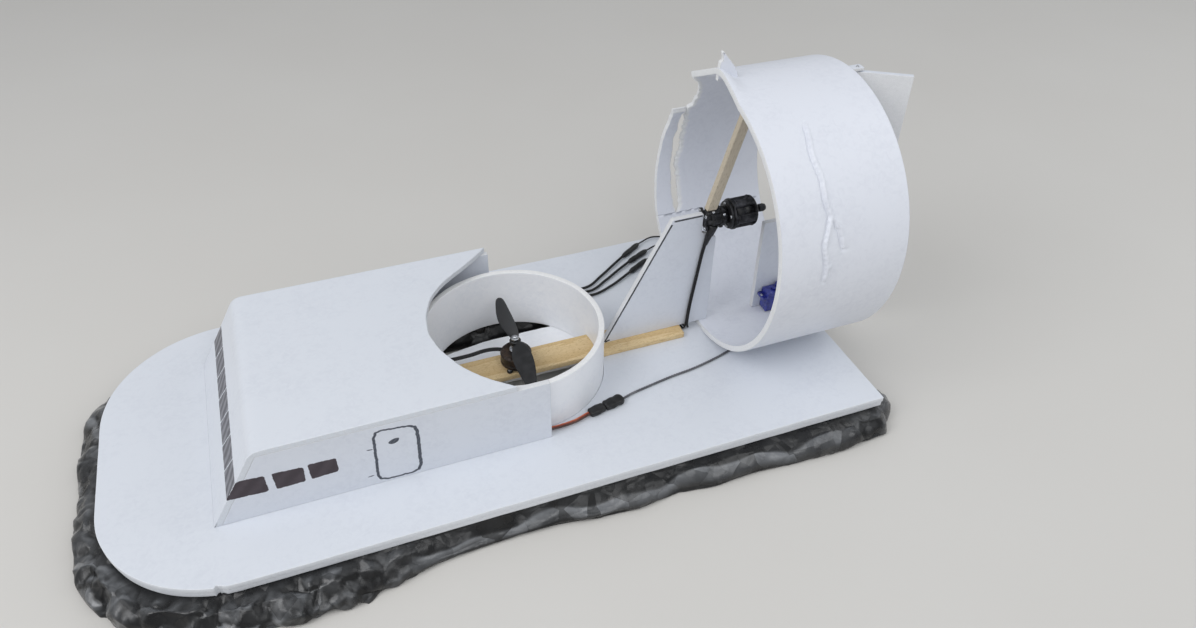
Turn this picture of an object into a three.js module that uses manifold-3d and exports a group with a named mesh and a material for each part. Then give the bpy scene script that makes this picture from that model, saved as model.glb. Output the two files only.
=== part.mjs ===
// Home-built radio-controlled hovercraft of foam board, standing on its deflated skirt.
// Millimetres. +X is forward (bow), +Y is port, +Z is up.
// Pieces are drawn in deck coordinates (the deck's top face is z = 0, amidships is x = 0);
// the outer group lifts and centres them so that the floor is z = 0.
import * as THREE from 'three';
import { mergeVertices } from 'three/addons/utils/BufferGeometryUtils.js';
import Module from 'manifold-3d';

const wasm = await Module();
wasm.setup();

// Driving dimensions
const BOARD = 5;                 // foam board thickness
const FIT = 0.3;                 // clearance between neighbouring pieces
const DECK_L = 640;
const DECK_W = 298;
const BOW_R = 102;               // plan radius of both bow corners
const DECK_T = 2 * BOARD;        // deck is two boards thick
const SKIRT_H = 20;              // height of the deflated skirt under the deck
const CABIN_X0 = -31;            // rear ends of the side walls
const CABIN_X1 = 236;            // foot of the sloped front
const CABIN_XT = 196;            // top of the sloped front
const CABIN_H = 67;
const CABIN_YP = 92.75;          // port outside face
const CABIN_YS = -98;            // starboard outside face
const LIFT_X = -26;              // lift duct centre
const LIFT_RO = 81;
const LIFT_RI = 76;
const LIFT_TOP = 50;
const STICK_X0 = -189;           // centre-line wooden batten
const STICK_X1 = 70;
const STICK_W = 30;
const STICK_T = 5;
const FAN_X = -28;               // lift fan axis
const FAN_Y = 1.5;
const FAN_R = 65;
const DUCT_X0 = -325;            // thrust duct, aft end
const DUCT_X1 = -209;            // thrust duct, front end
const DUCT_RO = 122.5;
const DUCT_RI = 117.5;
const DUCT_Z = DUCT_RO + FIT;    // duct centre, resting on the deck
const MOTOR_Z = 120;             // thrust motor axis
const HINGE_X = -335.5;          // rudder hinge line
const HINGE_ROD_R = 1;
const RUDDER_C = 46.5;           // hinge line to trailing edge
const RUDDER_Z0 = 8;
const RUDDER_Z1 = 239;
const RUDDER_SET = -32;          // degrees, trailing edge swung to port
const SERVO_X = -292;            // servo output axis
const SERVO_Y = 8.8;
const SERVO_TOP = 33;
const CRANK = 12;                // servo arm and rudder horn radius
const SHIFT_X = 14.64;           // centres the whole craft, spread skirt included, on the origin
const SHIFT_Y = -3.22;

const COLOUR = {
  foam: [0xd9dde4, 0.75, 0],
  foamSide: [0xc6cad2, 0.75, 0],
  foamDuct: [0xe2e5ec, 0.7, 0],
  film: [0x2e2f31, 0.35, 0],
  wood: [0xd0ae79, 0.7, 0],
  mast: [0xa9936d, 0.75, 0],
  black: [0x232323, 0.5, 0],
  can: [0x26262a, 0.4, 0.4],
  prop: [0x1c1c1e, 0.35, 0],
  steel: [0xb9bbbe, 0.3, 1],
  servo: [0x2227a0, 0.35, 0],
  white: [0xe9e9e6, 0.45, 0],
  wire: [0x1b1b1c, 0.5, 0],
  lead: [0x7a3a22, 0.5, 0],
  greyWire: [0x54555a, 0.5, 0],
  battery: [0x2f343c, 0.5, 0],
};

const craft = new THREE.Group();
craft.name = 'hovercraft';
craft.position.set(SHIFT_X, SHIFT_Y, SKIRT_H + DECK_T);

function add(name, geometry, look, parent = craft) {
  const [color, roughness, metalness] = COLOUR[look];
  const material = new THREE.MeshStandardMaterial({ color, roughness, metalness });
  material.name = name;
  const mesh = new THREE.Mesh(geometry, material);
  mesh.name = name;
  parent.add(mesh);
  return mesh;
}

// Booleans
function toSolid(geometry) {
  const g = geometry.clone();
  g.deleteAttribute('normal');
  g.deleteAttribute('uv');
  const m = mergeVertices(g, 1e-4);
  return new wasm.Manifold(new wasm.Mesh({
    numProp: 3,
    vertProperties: new Float32Array(m.attributes.position.array),
    triVerts: new Uint32Array(m.index.array),
  }));
}

function fromSolid(solid) {
  const mesh = solid.getMesh();
  const g = new THREE.BufferGeometry();
  g.setAttribute('position', new THREE.BufferAttribute(new Float32Array(mesh.vertProperties), 3));
  g.setIndex(new THREE.BufferAttribute(new Uint32Array(mesh.triVerts), 1));
  g.computeVertexNormals();
  return g;
}

function cut(geometry, ...tools) {
  let solid = toSolid(geometry);
  for (const tool of tools) {
    solid = solid.subtract(toSolid(tool));
  }
  return fromSolid(solid);
}

function join(...pieces) {
  let solid = toSolid(pieces[0]);
  for (const piece of pieces.slice(1)) {
    solid = solid.add(toSolid(piece));
  }
  return fromSolid(solid);
}

// Shapes and solids
function outline(points) {
  return new THREE.Shape(points.map(([a, b]) => new THREE.Vector2(a, b)));
}

function slabZ(shape, z0, z1, curveSegments = 24) {
  const g = new THREE.ExtrudeGeometry(shape, { depth: z1 - z0, bevelEnabled: false, curveSegments });
  return g.translate(0, 0, z0);
}

// An x-z outline given thickness from y0 to y1
function slabY(shape, y0, y1, curveSegments = 12) {
  const g = new THREE.ExtrudeGeometry(shape, { depth: y1 - y0, bevelEnabled: false, curveSegments });
  return g.rotateX(Math.PI / 2).translate(0, y1, 0);
}

// A y-z outline given length from x0 to x1
function slabX(shape, x0, x1, curveSegments = 24) {
  const g = new THREE.ExtrudeGeometry(shape, { depth: x1 - x0, bevelEnabled: false, curveSegments });
  g.applyMatrix4(new THREE.Matrix4().makeBasis(
    new THREE.Vector3(0, 1, 0), new THREE.Vector3(0, 0, 1), new THREE.Vector3(1, 0, 0)));
  return g.translate(x0, 0, 0);
}

function circle(cx, cy, r, sides) {
  const points = [];
  for (let i = 0; i < sides; i += 1) {
    const a = (2 * Math.PI * i) / sides;
    points.push([cx + r * Math.cos(a), cy + r * Math.sin(a)]);
  }
  return points;
}

function withHole(shape, cx, cy, r, sides) {
  shape.holes.push(outline(circle(cx, cy, r, sides)));
  return shape;
}

function ring(cx, cy, outer, inner, sides) {
  return withHole(outline(circle(cx, cy, outer, sides)), cx, cy, inner, sides);
}

function box(x0, x1, y0, y1, z0, z1) {
  return new THREE.BoxGeometry(x1 - x0, y1 - y0, z1 - z0)
    .translate((x0 + x1) / 2, (y0 + y1) / 2, (z0 + z1) / 2);
}

function turnedZ(profile, x, y, segments = 24) {
  const points = profile.map(([r, z]) => new THREE.Vector2(r, z));
  const g = new THREE.LatheGeometry(points, segments);
  return g.rotateX(Math.PI / 2).translate(x, y, 0);
}

function turnedX(profile, y, z, segments = 24) {
  const points = profile.map(([r, x]) => new THREE.Vector2(r, x));
  const g = new THREE.LatheGeometry(points, segments);
  return g.rotateX(Math.PI / 2).rotateY(Math.PI / 2).translate(0, y, z);
}

// A round or lobed section swept along a smooth path
function swept(points, section, steps) {
  const path = new THREE.CatmullRomCurve3(points.map((p) => new THREE.Vector3(...p)), false, 'centripetal');
  return new THREE.ExtrudeGeometry(section, { steps, bevelEnabled: false, extrudePath: path });
}

function roundSection(r, sides = 6) {
  const points = [];
  for (let i = 0; i < sides; i += 1) {
    const a = (2 * Math.PI * (i + 0.5)) / sides;
    points.push([r * Math.cos(a), r * Math.sin(a)]);
  }
  return outline(points);
}

// Flat ribbon of wires lying side by side, with a scalloped outline
function ribbonSection(count, r, across = false) {
  const points = [];
  const pitch = 1.7 * r;
  const half = ((count - 1) * pitch) / 2;
  for (let i = 0; i < count; i += 1) {
    for (const a of i === 0 ? [180, 225, 270] : [250, 290]) {
      points.push([i * pitch - half + r * Math.cos(a * Math.PI / 180), r * Math.sin(a * Math.PI / 180)]);
    }
  }
  for (let i = count - 1; i >= 0; i -= 1) {
    for (const a of i === count - 1 ? [315, 0, 45, 90] : [70, 110]) {
      points.push([i * pitch - half + r * Math.cos(a * Math.PI / 180), r * Math.sin(a * Math.PI / 180)]);
    }
  }
  points.push([-half + r * Math.cos(135 * Math.PI / 180), r * Math.sin(135 * Math.PI / 180)]);
  return outline(across ? points.map(([a, b]) => [-b, a]) : points);
}

// Deck: two boards, square stern, large bow radii, round lift opening
function deckShape(inset) {
  const x0 = -DECK_L / 2 + inset;
  const x1 = DECK_L / 2 - inset;
  const y = DECK_W / 2 - inset;
  const r = BOW_R - inset;
  const shape = new THREE.Shape();
  shape.moveTo(x0, -y);
  shape.lineTo(x1 - r, -y);
  shape.absarc(x1 - r, -y + r, r, -Math.PI / 2, 0, false);
  if (inset === 0) {
    // small torn nick in the edge of the port bow
    shape.absarc(x1 - r, y - r, r, 0, 1.365, false);
    shape.lineTo(236.6, y - 4.6);
    shape.lineTo(234.4, y - 2.6);
    shape.absarc(x1 - r, y - r, r, 1.445, Math.PI / 2, false);
  } else {
    shape.absarc(x1 - r, y - r, r, 0, Math.PI / 2, false);
  }
  shape.lineTo(x0, y);
  return withHole(shape, LIFT_X, 0, LIFT_RO + FIT, 64);
}
add('deck_upper', slabZ(deckShape(0), -BOARD + FIT / 2, 0, 32), 'foam');
add('deck_lower', slabZ(deckShape(0.6), -DECK_T, -BOARD - FIT / 2, 32), 'foam');

// Skirt: bag of thin film under the deck's edge, slack and spread on the floor
const SKIRT_BULGE = [
  // part of the edge, samples, film's reach beyond the deck edge at its start
  ['starboard side', 26, 12],
  ['starboard bow', 16, 13],
  ['bow', 10, 22],
  ['port bow', 16, 24],
  ['port side forward', 12, 19],
  ['port side middle', 14, 9],
  ['port side aft', 10, 15],
  ['port quarter', 6, 20],
  ['stern', 16, 13],
  ['starboard quarter', 6, 13],
];
function skirtPath(reach, u) {
  // point on the deck outline grown by `reach`; u runs 0..1 within each listed part
  const x0 = -DECK_L / 2 - reach;
  const x1 = DECK_L / 2 + reach;
  const y = DECK_W / 2 + reach;
  const rb = Math.max(4, BOW_R + reach);
  const rs = Math.max(4, 8 + reach);
  const lerp = (a, b, t) => a + (b - a) * t;
  const arc = (cx, cy, r, a0, a1, t) => {
    const a = lerp(a0, a1, t) * Math.PI / 180;
    return [cx + r * Math.cos(a), cy + r * Math.sin(a)];
  };
  const part = Math.floor(u) % SKIRT_BULGE.length;
  const t = u - Math.floor(u);
  const xb = x1 - rb;
  const xs = x0 + rs;
  switch (part) {
    case 0: return [lerp(xs, xb, t), -y];
    case 1: return arc(xb, -y + rb, rb, -90, 0, t);
    case 2: return [x1, lerp(-y + rb, y - rb, t)];
    case 3: return arc(xb, y - rb, rb, 0, 90, t);
    case 4: return [lerp(xb, 75, t), y];
    case 5: return [lerp(75, -95, t), y];
    case 6: return [lerp(-95, xs, t), y];
    case 7: return arc(xs, y - rs, rs, 90, 180, t);
    case 8: return [x0, lerp(y - rs, -y + rs, t)];
    default: return arc(xs, -y + rs, rs, 180, 270, t);
  }
}
function skirtGeometry() {
  const floor = -DECK_T - SKIRT_H;
  const top = -DECK_T - FIT;
  const stations = [];
  SKIRT_BULGE.forEach(([, samples, b0], part) => {
    const b1 = SKIRT_BULGE[(part + 1) % SKIRT_BULGE.length][2];
    for (let i = 0; i < samples; i += 1) {
      const t = i / samples;
      stations.push([part + t, b0 + (b1 - b0) * (3 * t * t - 2 * t * t * t)]);
    }
  });
  const count = stations.length;
  const rows = [];
  stations.forEach(([u, bulge], k) => {
    const a = (2 * Math.PI * k) / count;
    const fold = 1 + 0.13 * Math.sin(23 * a) + 0.09 * Math.sin(41 * a + 1.3);
    const b = bulge * fold;
    const sag = 1.2 * Math.sin(31 * a + 0.7);
    rows.push([
      [-68, top],
      [-1, top],
      [0.3 * b, floor + 15.5 + sag],
      [0.86 * b, floor + 12 + sag],
      [b, floor + 6.5],
      [0.9 * b, floor + 1.6],
      [0.7 * b, floor],
      [-76, floor],
      [-79, floor + 6],
    ].map(([reach, z]) => [...skirtPath(reach, u), z]));
  });
  const n = rows[0].length;
  const position = [];
  const index = [];
  rows.forEach((row) => row.forEach((p) => position.push(...p)));
  for (let i = 0; i < count; i += 1) {
    const j = (i + 1) % count;
    for (let k = 0; k < n; k += 1) {
      const m = (k + 1) % n;
      index.push(i * n + k, i * n + m, j * n + m);
      index.push(i * n + k, j * n + m, j * n + k);
    }
  }
  const g = new THREE.BufferGeometry();
  g.setAttribute('position', new THREE.Float32BufferAttribute(position, 3));
  g.setIndex(index);
  g.computeVertexNormals();
  return g;
}
add('skirt', skirtGeometry(), 'film');

// Cabin: side walls under one folded sheet that makes the roof and the sloped front
const FRONT = new THREE.Vector2(CABIN_X1 - CABIN_XT, -CABIN_H).normalize();
const FRONT_IN = new THREE.Vector2(FRONT.y, -FRONT.x);   // towards the inside of the front sheet
function frontLine(depth, z) {
  const x = CABIN_XT + FRONT_IN.x * depth;
  const zt = CABIN_H + FRONT_IN.y * depth;
  return x + ((z - zt) * FRONT.x) / FRONT.y;
}
const roofUnder = CABIN_H - BOARD;
const cover = new THREE.Shape();
cover.moveTo(CABIN_X0, roofUnder);
cover.lineTo(frontLine(BOARD, roofUnder), roofUnder);
cover.lineTo(frontLine(BOARD, FIT), FIT);
cover.lineTo(frontLine(0, FIT), FIT);
cover.lineTo(frontLine(0, CABIN_H - 6), CABIN_H - 6);
cover.quadraticCurveTo(CABIN_XT, CABIN_H, CABIN_XT - 8, CABIN_H);
cover.lineTo(CABIN_X0, CABIN_H);
// rear edge of the roof, cut around the lift duct (x, y from port to starboard)
const ROOF_CUT = [
  [-60, 120], [-14, 120], [-8, 96], [1.3, 88], [14, 76.5], [26.5, 62], [36, 45], [42.6, 27.8], [46.2, 9],
  [44.5, -12], [37, -35], [25, -53], [9, -67], [-9, -80.5], [-22, -91], [-30.5, -99.5], [-60, -99.5],
];
add('cabin_cover', cut(slabY(cover, CABIN_YS, CABIN_YP, 8),
  slabZ(outline([...ROOF_CUT].reverse()), 50, 80)), 'foam');

function wallShape() {
  return outline([
    [CABIN_X0, FIT],
    [frontLine(BOARD + FIT, FIT), FIT],
    [frontLine(BOARD + FIT, roofUnder - FIT), roofUnder - FIT],
    [CABIN_X0, roofUnder - FIT],
  ]);
}
add('cabin_side_port', slabY(wallShape(), CABIN_YP - BOARD, CABIN_YP), 'foamSide');
add('cabin_side_starboard', slabY(wallShape(), CABIN_YS, CABIN_YS + BOARD), 'foamSide');
add('battery', box(96, 200, -17, 17, FIT, 25), 'battery');

// Lift duct, with slots at its foot for the batten
const battenSlot = box(STICK_X0, STICK_X1, -STICK_W / 2 - 0.4, STICK_W / 2 + 0.4, -0.3, STICK_T + 0.8);
add('lift_duct', cut(slabZ(ring(LIFT_X, 0, LIFT_RO, LIFT_RI, 64), -DECK_T, LIFT_TOP), battenSlot), 'foam');
add('centre_batten', box(STICK_X0, STICK_X1, -STICK_W / 2, STICK_W / 2, FIT, STICK_T + FIT), 'wood');

// Strip of foam board glued under the deck across the opening; air passes on both sides of it
add('opening_strip', slabZ(outline([[-118, -55.3], [-14, -55.3], [62, -42.6], [62, 2], [-118, 2]]),
  -DECK_T - FIT - BOARD, -DECK_T - FIT), 'foam');

// Lift fan: fixed base with cross mount, turning can with its shaft, two-blade propeller
const fanBase = STICK_T + 2 * FIT;
const crossArms = [45, 135].map((deg) => box(-15, 15, -2.6, 2.6, 0, 1.6)
  .rotateZ(deg * Math.PI / 180)
  .translate(FAN_X, FAN_Y, fanBase));
add('lift_motor_base', join(
  turnedZ([[0, fanBase], [10.5, fanBase], [10.5, 7.6], [7, 8.8], [0, 8.8]], FAN_X, FAN_Y), ...crossArms), 'black');
add('lift_motor_can', turnedZ(
  [[0, 9.1], [13.4, 9.1], [14, 9.8], [14, 19.4], [12.4, 21.4], [4, 22.2], [0, 22.2]], FAN_X, FAN_Y, 32), 'can');
add('lift_shaft', turnedZ(
  [[0, 22.5], [5.6, 22.5], [5.6, 23.6], [3.8, 24.6], [3.8, 29.3], [2.2, 29.3], [2.2, 35.2], [1.4, 36.6], [0, 36.6]],
  FAN_X, FAN_Y, 16), 'steel');

// Two-blade propeller with twisted blades around a bored hub; turn is its heading in degrees
function propeller(z, turn, bore) {
  const blade = (sign) => {
    const stations = [
      // radius, leading edge, trailing edge, pitch in degrees
      [3.5, 4.2, -4.2, 36],
      [12, 7.8, -8.0, 33],
      [24, 9.2, -8.8, 27],
      [38, 8.0, -7.8, 21],
      [52, 5.2, -6.2, 16],
      [61, 2.8, -5.0, 13],
      [FAN_R, 0.4, -3.4, 12],
    ];
    const position = [];
    const index = [];
    stations.forEach(([r, le, te, pitch]) => {
      const p = pitch * Math.PI / 180;
      const rings = [[le, 0], [0.35 * le + 0.65 * te, 0.75], [te, 0], [0.35 * le + 0.65 * te, -0.45]];
      rings.forEach(([c, t]) => position.push(
        r, c * Math.cos(p) - t * Math.sin(p), c * Math.sin(p) + t * Math.cos(p)));
    });
    const n = 4;
    for (let i = 0; i < stations.length - 1; i += 1) {
      for (let k = 0; k < n; k += 1) {
        const m = (k + 1) % n;
        index.push(i * n + k, i * n + m, (i + 1) * n + m);
        index.push(i * n + k, (i + 1) * n + m, (i + 1) * n + k);
      }
    }
    const e = (stations.length - 1) * n;
    index.push(0, 2, 1, 0, 3, 2);
    index.push(e, e + 1, e + 2, e, e + 2, e + 3);
    const g = new THREE.BufferGeometry();
    g.setAttribute('position', new THREE.Float32BufferAttribute(position, 3));
    g.setIndex(index);
    return sign > 0 ? g : g.rotateZ(Math.PI);
  };
  const hub = toSolid(turnedZ([[0, -2.1], [5, -2.1], [5.2, 1.5], [4.4, 2.1], [0, 2.1]], 0, 0, 20));
  const hole = toSolid(turnedZ([[0, -9], [bore, -9], [bore, 9], [0, 9]], 0, 0, 16));
  return fromSolid(hub.add(toSolid(blade(1))).add(toSolid(blade(-1))).subtract(hole))
    .rotateZ(turn * Math.PI / 180)
    .translate(FAN_X, FAN_Y, z);
}
add('lift_propeller', propeller(31.8, -91, 2.5), 'prop');

// Thrust duct: rolled foam tube; a strike has torn its front edge and slit it on the starboard side, so that a strip
// stands loose between the tear and the slot
const FRONT_TEAR = [
  // angle about the duct's axis (0 port, 90 top, 180 starboard), place of the torn front edge
  [116.5, -209], [120, -215], [126.8, -222.5], [132, -229], [138, -236], [143, -239.5], [149, -241.5],
  [154.8, -240.7], [156.2, -236.6], [156.4, -222], [160, -222.4], [165, -221.5], [169.4, -219.2],
  [173.6, -217.2], [178, -216.3], [182, -215], [187.7, -213.3], [193.7, -211.9], [201, -210.2], [207, -209.2],
];
const SLOT = [
  // angle, front edge and aft edge of the slot behind the strip
  [158.4, -235.6, -236.4], [160, -232, -237], [165.6, -231, -238.1], [170, -230.5, -237.8],
  [174, -229, -237.3], [178.5, -228.7, -237.1], [182.6, -228.4, -236], [188, -227.2, -232.9],
  [192, -227.7, -234.2], [198, -227.5, -234.6], [206, -227.8, -234.4], [210, -228.3, -232.2],
  [211.5, -228.7, -229.3],
];
function tearTools(rows) {
  const at = (x, deg, r) => {
    const a = deg * Math.PI / 180;
    return [x, r * Math.cos(a), DUCT_Z + r * Math.sin(a)];
  };
  const tools = [];
  for (let i = 0; i < rows.length - 1; i += 1) {
    const corners = [];
    rows.slice(i, i + 2).forEach(([deg, front, aft], end) => {
      const edge = deg + (end === 0 ? -0.1 : 0.1);
      for (const r of [DUCT_RI - 12, DUCT_RO + 12]) {
        corners.push(at(front, edge, r), at(aft, edge, r));
      }
    });
    tools.push(wasm.Manifold.hull(corners));
  }
  return tools;
}
function thrustDuct() {
  let solid = toSolid(slabX(ring(0, DUCT_Z, DUCT_RO, DUCT_RI, 80), DUCT_X0, DUCT_X1));
  const ahead = FRONT_TEAR.map(([deg, aft]) => [deg, DUCT_X1 + 9, aft]);
  for (const tool of [...tearTools(ahead), ...tearTools(SLOT)]) {
    solid = solid.subtract(tool);
  }
  // hole for the servo wire
  solid = solid.subtract(toSolid(turnedZ([[0, -2], [3.6, -2], [3.6, 20], [0, 20]], -283.2, 30.8, 16)));
  return fromSolid(solid);
}
add('thrust_duct', thrustDuct(), 'foamDuct');
add('duct_tab', slabY(outline([
  [-210.2, 245.45], [-228, 245.45], [-224, 255.3], [-218, 262.2], [-212.1, 268.6], [-212.6, 261], [-210.4, 259.8],
]), -13, -8.5), 'foam');

// Pylon, motor mount and mast
add('pylon', slabY(outline([
  [-111, STICK_T + 2 * FIT], [-174, 127], [-203.5, 127], [-203.5, 108], [-218, 100],
  [-218, STICK_T + 3 * FIT],
]), -BOARD / 2, BOARD / 2), 'foam');
add('motor_mount', turnedX(
  [[0, -229.2], [12.5, -229.2], [12.5, -227.4], [8, -227], [8, -203.8], [0, -203.8]], 0, MOTOR_Z, 24), 'black');
add('mast', slabY(outline([[-206, 129.5], [-215.5, 129.5], [-246.5, 239.2], [-237, 239.2]]), -3, 3), 'mast');
add('thrust_motor_can', turnedX(
  [[0, -255], [6, -255], [13, -253.8], [14, -252.6], [14, -230.4], [13.4, -229.6], [0, -229.6]],
  0, MOTOR_Z, 32), 'can');
add('prop_adapter', turnedX(
  [[0, -266], [1.4, -266], [4.2, -264], [4.6, -259.6], [3, -259], [3, -255.3], [0, -255.3]],
  0, MOTOR_Z, 16), 'black');

// Fin inside the duct that carries the rudder and the servo
add('fin', slabY(outline([
  [-267.3, 5.8], [-331, 5.8], [-331, 239.8], [-311, 239.8], [-311, 112], [-298, 103], [-267.3, 103],
]), -BOARD / 2, BOARD / 2), 'foam');
for (const [name, z0, z1] of [['hinge_plate_top', 240.1, 242.6], ['hinge_plate_bottom', 2.9, 5.4]]) {
  const shape = outline([[-340, -4], [-325.6, -4], [-325.6, 4], [-340, 4]]);
  add(name, slabZ(withHole(shape, HINGE_X, 0, HINGE_ROD_R + 0.3, 16), z0, z1), 'foam');
}
add('hinge_rod', turnedZ([[0, 2], [HINGE_ROD_R, 2], [HINGE_ROD_R, 243.6], [0, 243.6]], HINGE_X, 0, 16), 'steel');

// Rudder and horn turn together about the hinge rod
const rudderFrame = new THREE.Group();
rudderFrame.name = 'rudder_frame';
rudderFrame.position.set(HINGE_X, 0, 0);
rudderFrame.rotation.z = (RUDDER_SET * Math.PI) / 180;
craft.add(rudderFrame);
const rudder = new THREE.Shape();
rudder.moveTo(-RUDDER_C, -BOARD / 2);
rudder.lineTo(0, -BOARD / 2);
rudder.absarc(0, 0, BOARD / 2, -Math.PI / 2, Math.PI / 2, false);
rudder.lineTo(-RUDDER_C, BOARD / 2);
withHole(rudder, 0, 0, HINGE_ROD_R + 0.09, 16);
add('rudder', slabZ(rudder, RUDDER_Z0, RUDDER_Z1, 8), 'foam', rudderFrame);
const horn = new THREE.Shape();
horn.moveTo(-18, 2.8);
horn.lineTo(-4.5, 2.8);
horn.lineTo(2.6, CRANK - 1.2);
horn.absarc(0, CRANK, 2.9, -0.4, Math.PI - 0.2, false);
withHole(horn, 0, CRANK, 0.72, 12);
add('rudder_horn', slabZ(horn, 33.4, 35, 6), 'white', rudderFrame);

// Servo standing against the fin, its arm and the pushrod to the horn
const servoY0 = 2.8;
const servoY1 = 14.8;
add('servo', join(
  box(-298, -275, servoY0, servoY1, 7.2, 29),
  box(-302.5, -270.5, servoY0, servoY1, 21.6, 24),
  turnedZ([[0, 28], [5.8, 28], [5.8, SERVO_TOP], [0, SERVO_TOP]], SERVO_X, SERVO_Y, 24)), 'servo');
const armFrame = new THREE.Group();
armFrame.name = 'servo_arm_frame';
armFrame.position.set(SERVO_X, SERVO_Y, 0);
armFrame.rotation.z = (RUDDER_SET * Math.PI) / 180;
craft.add(armFrame);
const arm = new THREE.Shape();
arm.moveTo(-3.2, 0);
arm.lineTo(-1.9, CRANK);
arm.absarc(0, CRANK, 1.9, Math.PI, 0, true);
arm.lineTo(3.2, 0);
arm.absarc(0, 0, 3.2, 0, -Math.PI, true);
withHole(arm, 0, CRANK, 0.72, 12);
add('servo_arm', slabZ(arm, SERVO_TOP + 0.4, SERVO_TOP + 2, 6), 'white', armFrame);
const set = (RUDDER_SET * Math.PI) / 180;
const crankX = -CRANK * Math.sin(set);
const crankY = CRANK * Math.cos(set);
const rodA = [SERVO_X + crankX, SERVO_Y + crankY];
const rodB = [HINGE_X + crankX, crankY];
const rodZ = 38.2;
const mix = (t) => [rodA[0] + (rodB[0] - rodA[0]) * t, rodA[1] + (rodB[1] - rodA[1]) * t];
add('pushrod', swept([
  [...rodA, 31.8], [...rodA, 34.2], [...rodA, 36.6], [...mix(0.012), 37.7], [...mix(0.04), rodZ],
  [...mix(0.3), rodZ], [...mix(0.7), rodZ],
  [...mix(0.96), rodZ], [...mix(0.988), 37.7], [...rodB, 36.6], [...rodB, 34.2], [...rodB, 31.8],
], roundSection(0.62), 36), 'steel');

// Steering lead: out of the cabin, two plugs, thin wire under the duct to the servo
add('receiver_lead', swept([
  [20, 84.4, 2.8], [-8, 84.4, 2.8], [-24, 84.6, 2.8], [-38, 86, 2.8], [-55, 84.6, 2.8], [-66.9, 81, 2.9],
], ribbonSection(3, 0.85, true), 18), 'lead');
const plugTurn = Math.atan2(73.4 - 80.5, -102 + 68.9);
function plug(x0, x1, half, z1) {
  return box(x0, x1, -half, half, FIT, z1).rotateZ(plugTurn).translate(-68.9, 80.5, 0);
}
add('lead_plug', plug(0.3, 14.8, 4.2, 5), 'black');
add('lead_socket', join(plug(15.1, 31.6, 4.7, 5.6), plug(31, 33.6, 3, 4.2)), 'black');
add('servo_wire', swept([
  [-103.1, 73, 2.1], [-112, 69.6, 1.8], [-131, 65.6, 1.7], [-154.5, 61.4, 1.7], [-178, 58.4, 1.7],
  [-203, 52.8, 1.7], [-222, 47, 1.7], [-248, 40, 1.7], [-270, 34.4, 1.9], [-279, 32, 2.6], [-283, 30.9, 5.2],
  [-284.4, 30.2, 9.4],
  [-286, 26, 14], [-287, 21, 15], [-287.5, 15.2, 14],
], roundSection(1.15), 40), 'greyWire');

// Thrust motor leads: from the cabin along the starboard deck to three bullet joints,
// then looped back to the foot of the pylon and up its port face to the motor
const LEADS = [
  // name, speed-controller side up to the joint, far end of the joint, loop on to the motor
  ['a', [[10, -89, 9.2], [-40, -88.6, 9.2], [-85, -87.4, 7], [-127.6, -86, 2.6], [-148, -98.4, 2.6],
    [-168, -112.8, 2.8], [-182, -122.4, 3.2]], [-206, -138], [[-226, -145, 3], [-243, -136, 2.6],
    [-246, -112, 2.4], [-240, -82, 2.2], [-228, -56, 2], [-214, -38, 1.8], [-204.5, -26, 1.8],
    [-198.4, -14, 1.8], [-198, -3, 1.8], [-197.6, 5, 2.4], [-196.9, 7.6, 7], [-197.3, 7.1, 16],
    [-198.8, 6.9, 32], [-202.4, 6.9, 60], [-206.5, 6.9, 90], [-209, 7.2, 101], [-211.6, 8.2, 107]]],
  ['b', [[10, -89, 6], [-40, -88.6, 6], [-85, -86.8, 4.2], [-129.4, -79.8, 2.2], [-150, -90.6, 2.2],
    [-168, -101.6, 2.8], [-184, -111, 3.2]], [-209.5, -124], [[-226, -129, 3], [-236, -119, 2.6],
    [-236, -100, 2.2], [-229, -72, 2], [-216, -48, 1.8], [-202.5, -31.5, 1.8],
    [-195.6, -15, 1.8], [-195.1, -3, 1.8], [-195, 3.4, 2.6], [-195, 4.8, 6.4], [-195.8, 4.3, 16],
    [-197.3, 4.2, 32], [-200.9, 4.2, 60], [-205, 4.2, 90], [-207.2, 4.6, 101], [-208.6, 5.6, 106.8]]],
  ['c', [[10, -89, 2.8], [-40, -88.6, 2.8], [-85, -83.6, 1.8], [-130.4, -73.2, 2], [-152, -80.2, 2.2],
    [-166, -87.2, 2.8], [-178.6, -94.4, 3.2]], [-203, -108.5], [[-218, -114, 3], [-227, -106, 2.6],
    [-226.5, -90, 2.2], [-219, -64, 2], [-207, -45, 1.8], [-197, -31.5, 1.8],
    [-192.6, -16, 1.8], [-192.3, -3, 1.8], [-192.4, 5, 2.4], [-193.2, 7.6, 7], [-194.3, 7.1, 16],
    [-195.8, 6.9, 32], [-199.4, 6.9, 60], [-203.5, 6.9, 90], [-205.2, 7.4, 101], [-205.8, 8.8, 107]]],
];
for (const [tag, inPath, end, loop] of LEADS) {
  const [sx, sy] = inPath[inPath.length - 1];
  const [ex, ey] = end;
  const length = Math.hypot(ex - sx, ey - sy);
  const ux = (ex - sx) / length;
  const uy = (ey - sy) / length;
  const turn = Math.atan2(uy, ux);
  add(`esc_lead_${tag}`, swept(inPath, roundSection(1.35), 24), 'wire');
  add(`bullet_${tag}`, turnedX([
    [0, 0.3], [1.9, 0.3], [2.8, 1.8], [2.8, length - 2.1], [1.9, length - 0.6], [0, length - 0.6],
  ], 0, 0, 12).rotateZ(turn).translate(sx, sy, 3.2), 'wire');
  add(`motor_lead_${tag}`, swept([[ex, ey, 3.2], ...loop], roundSection(1.25), 60), 'wire');
}

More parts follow.
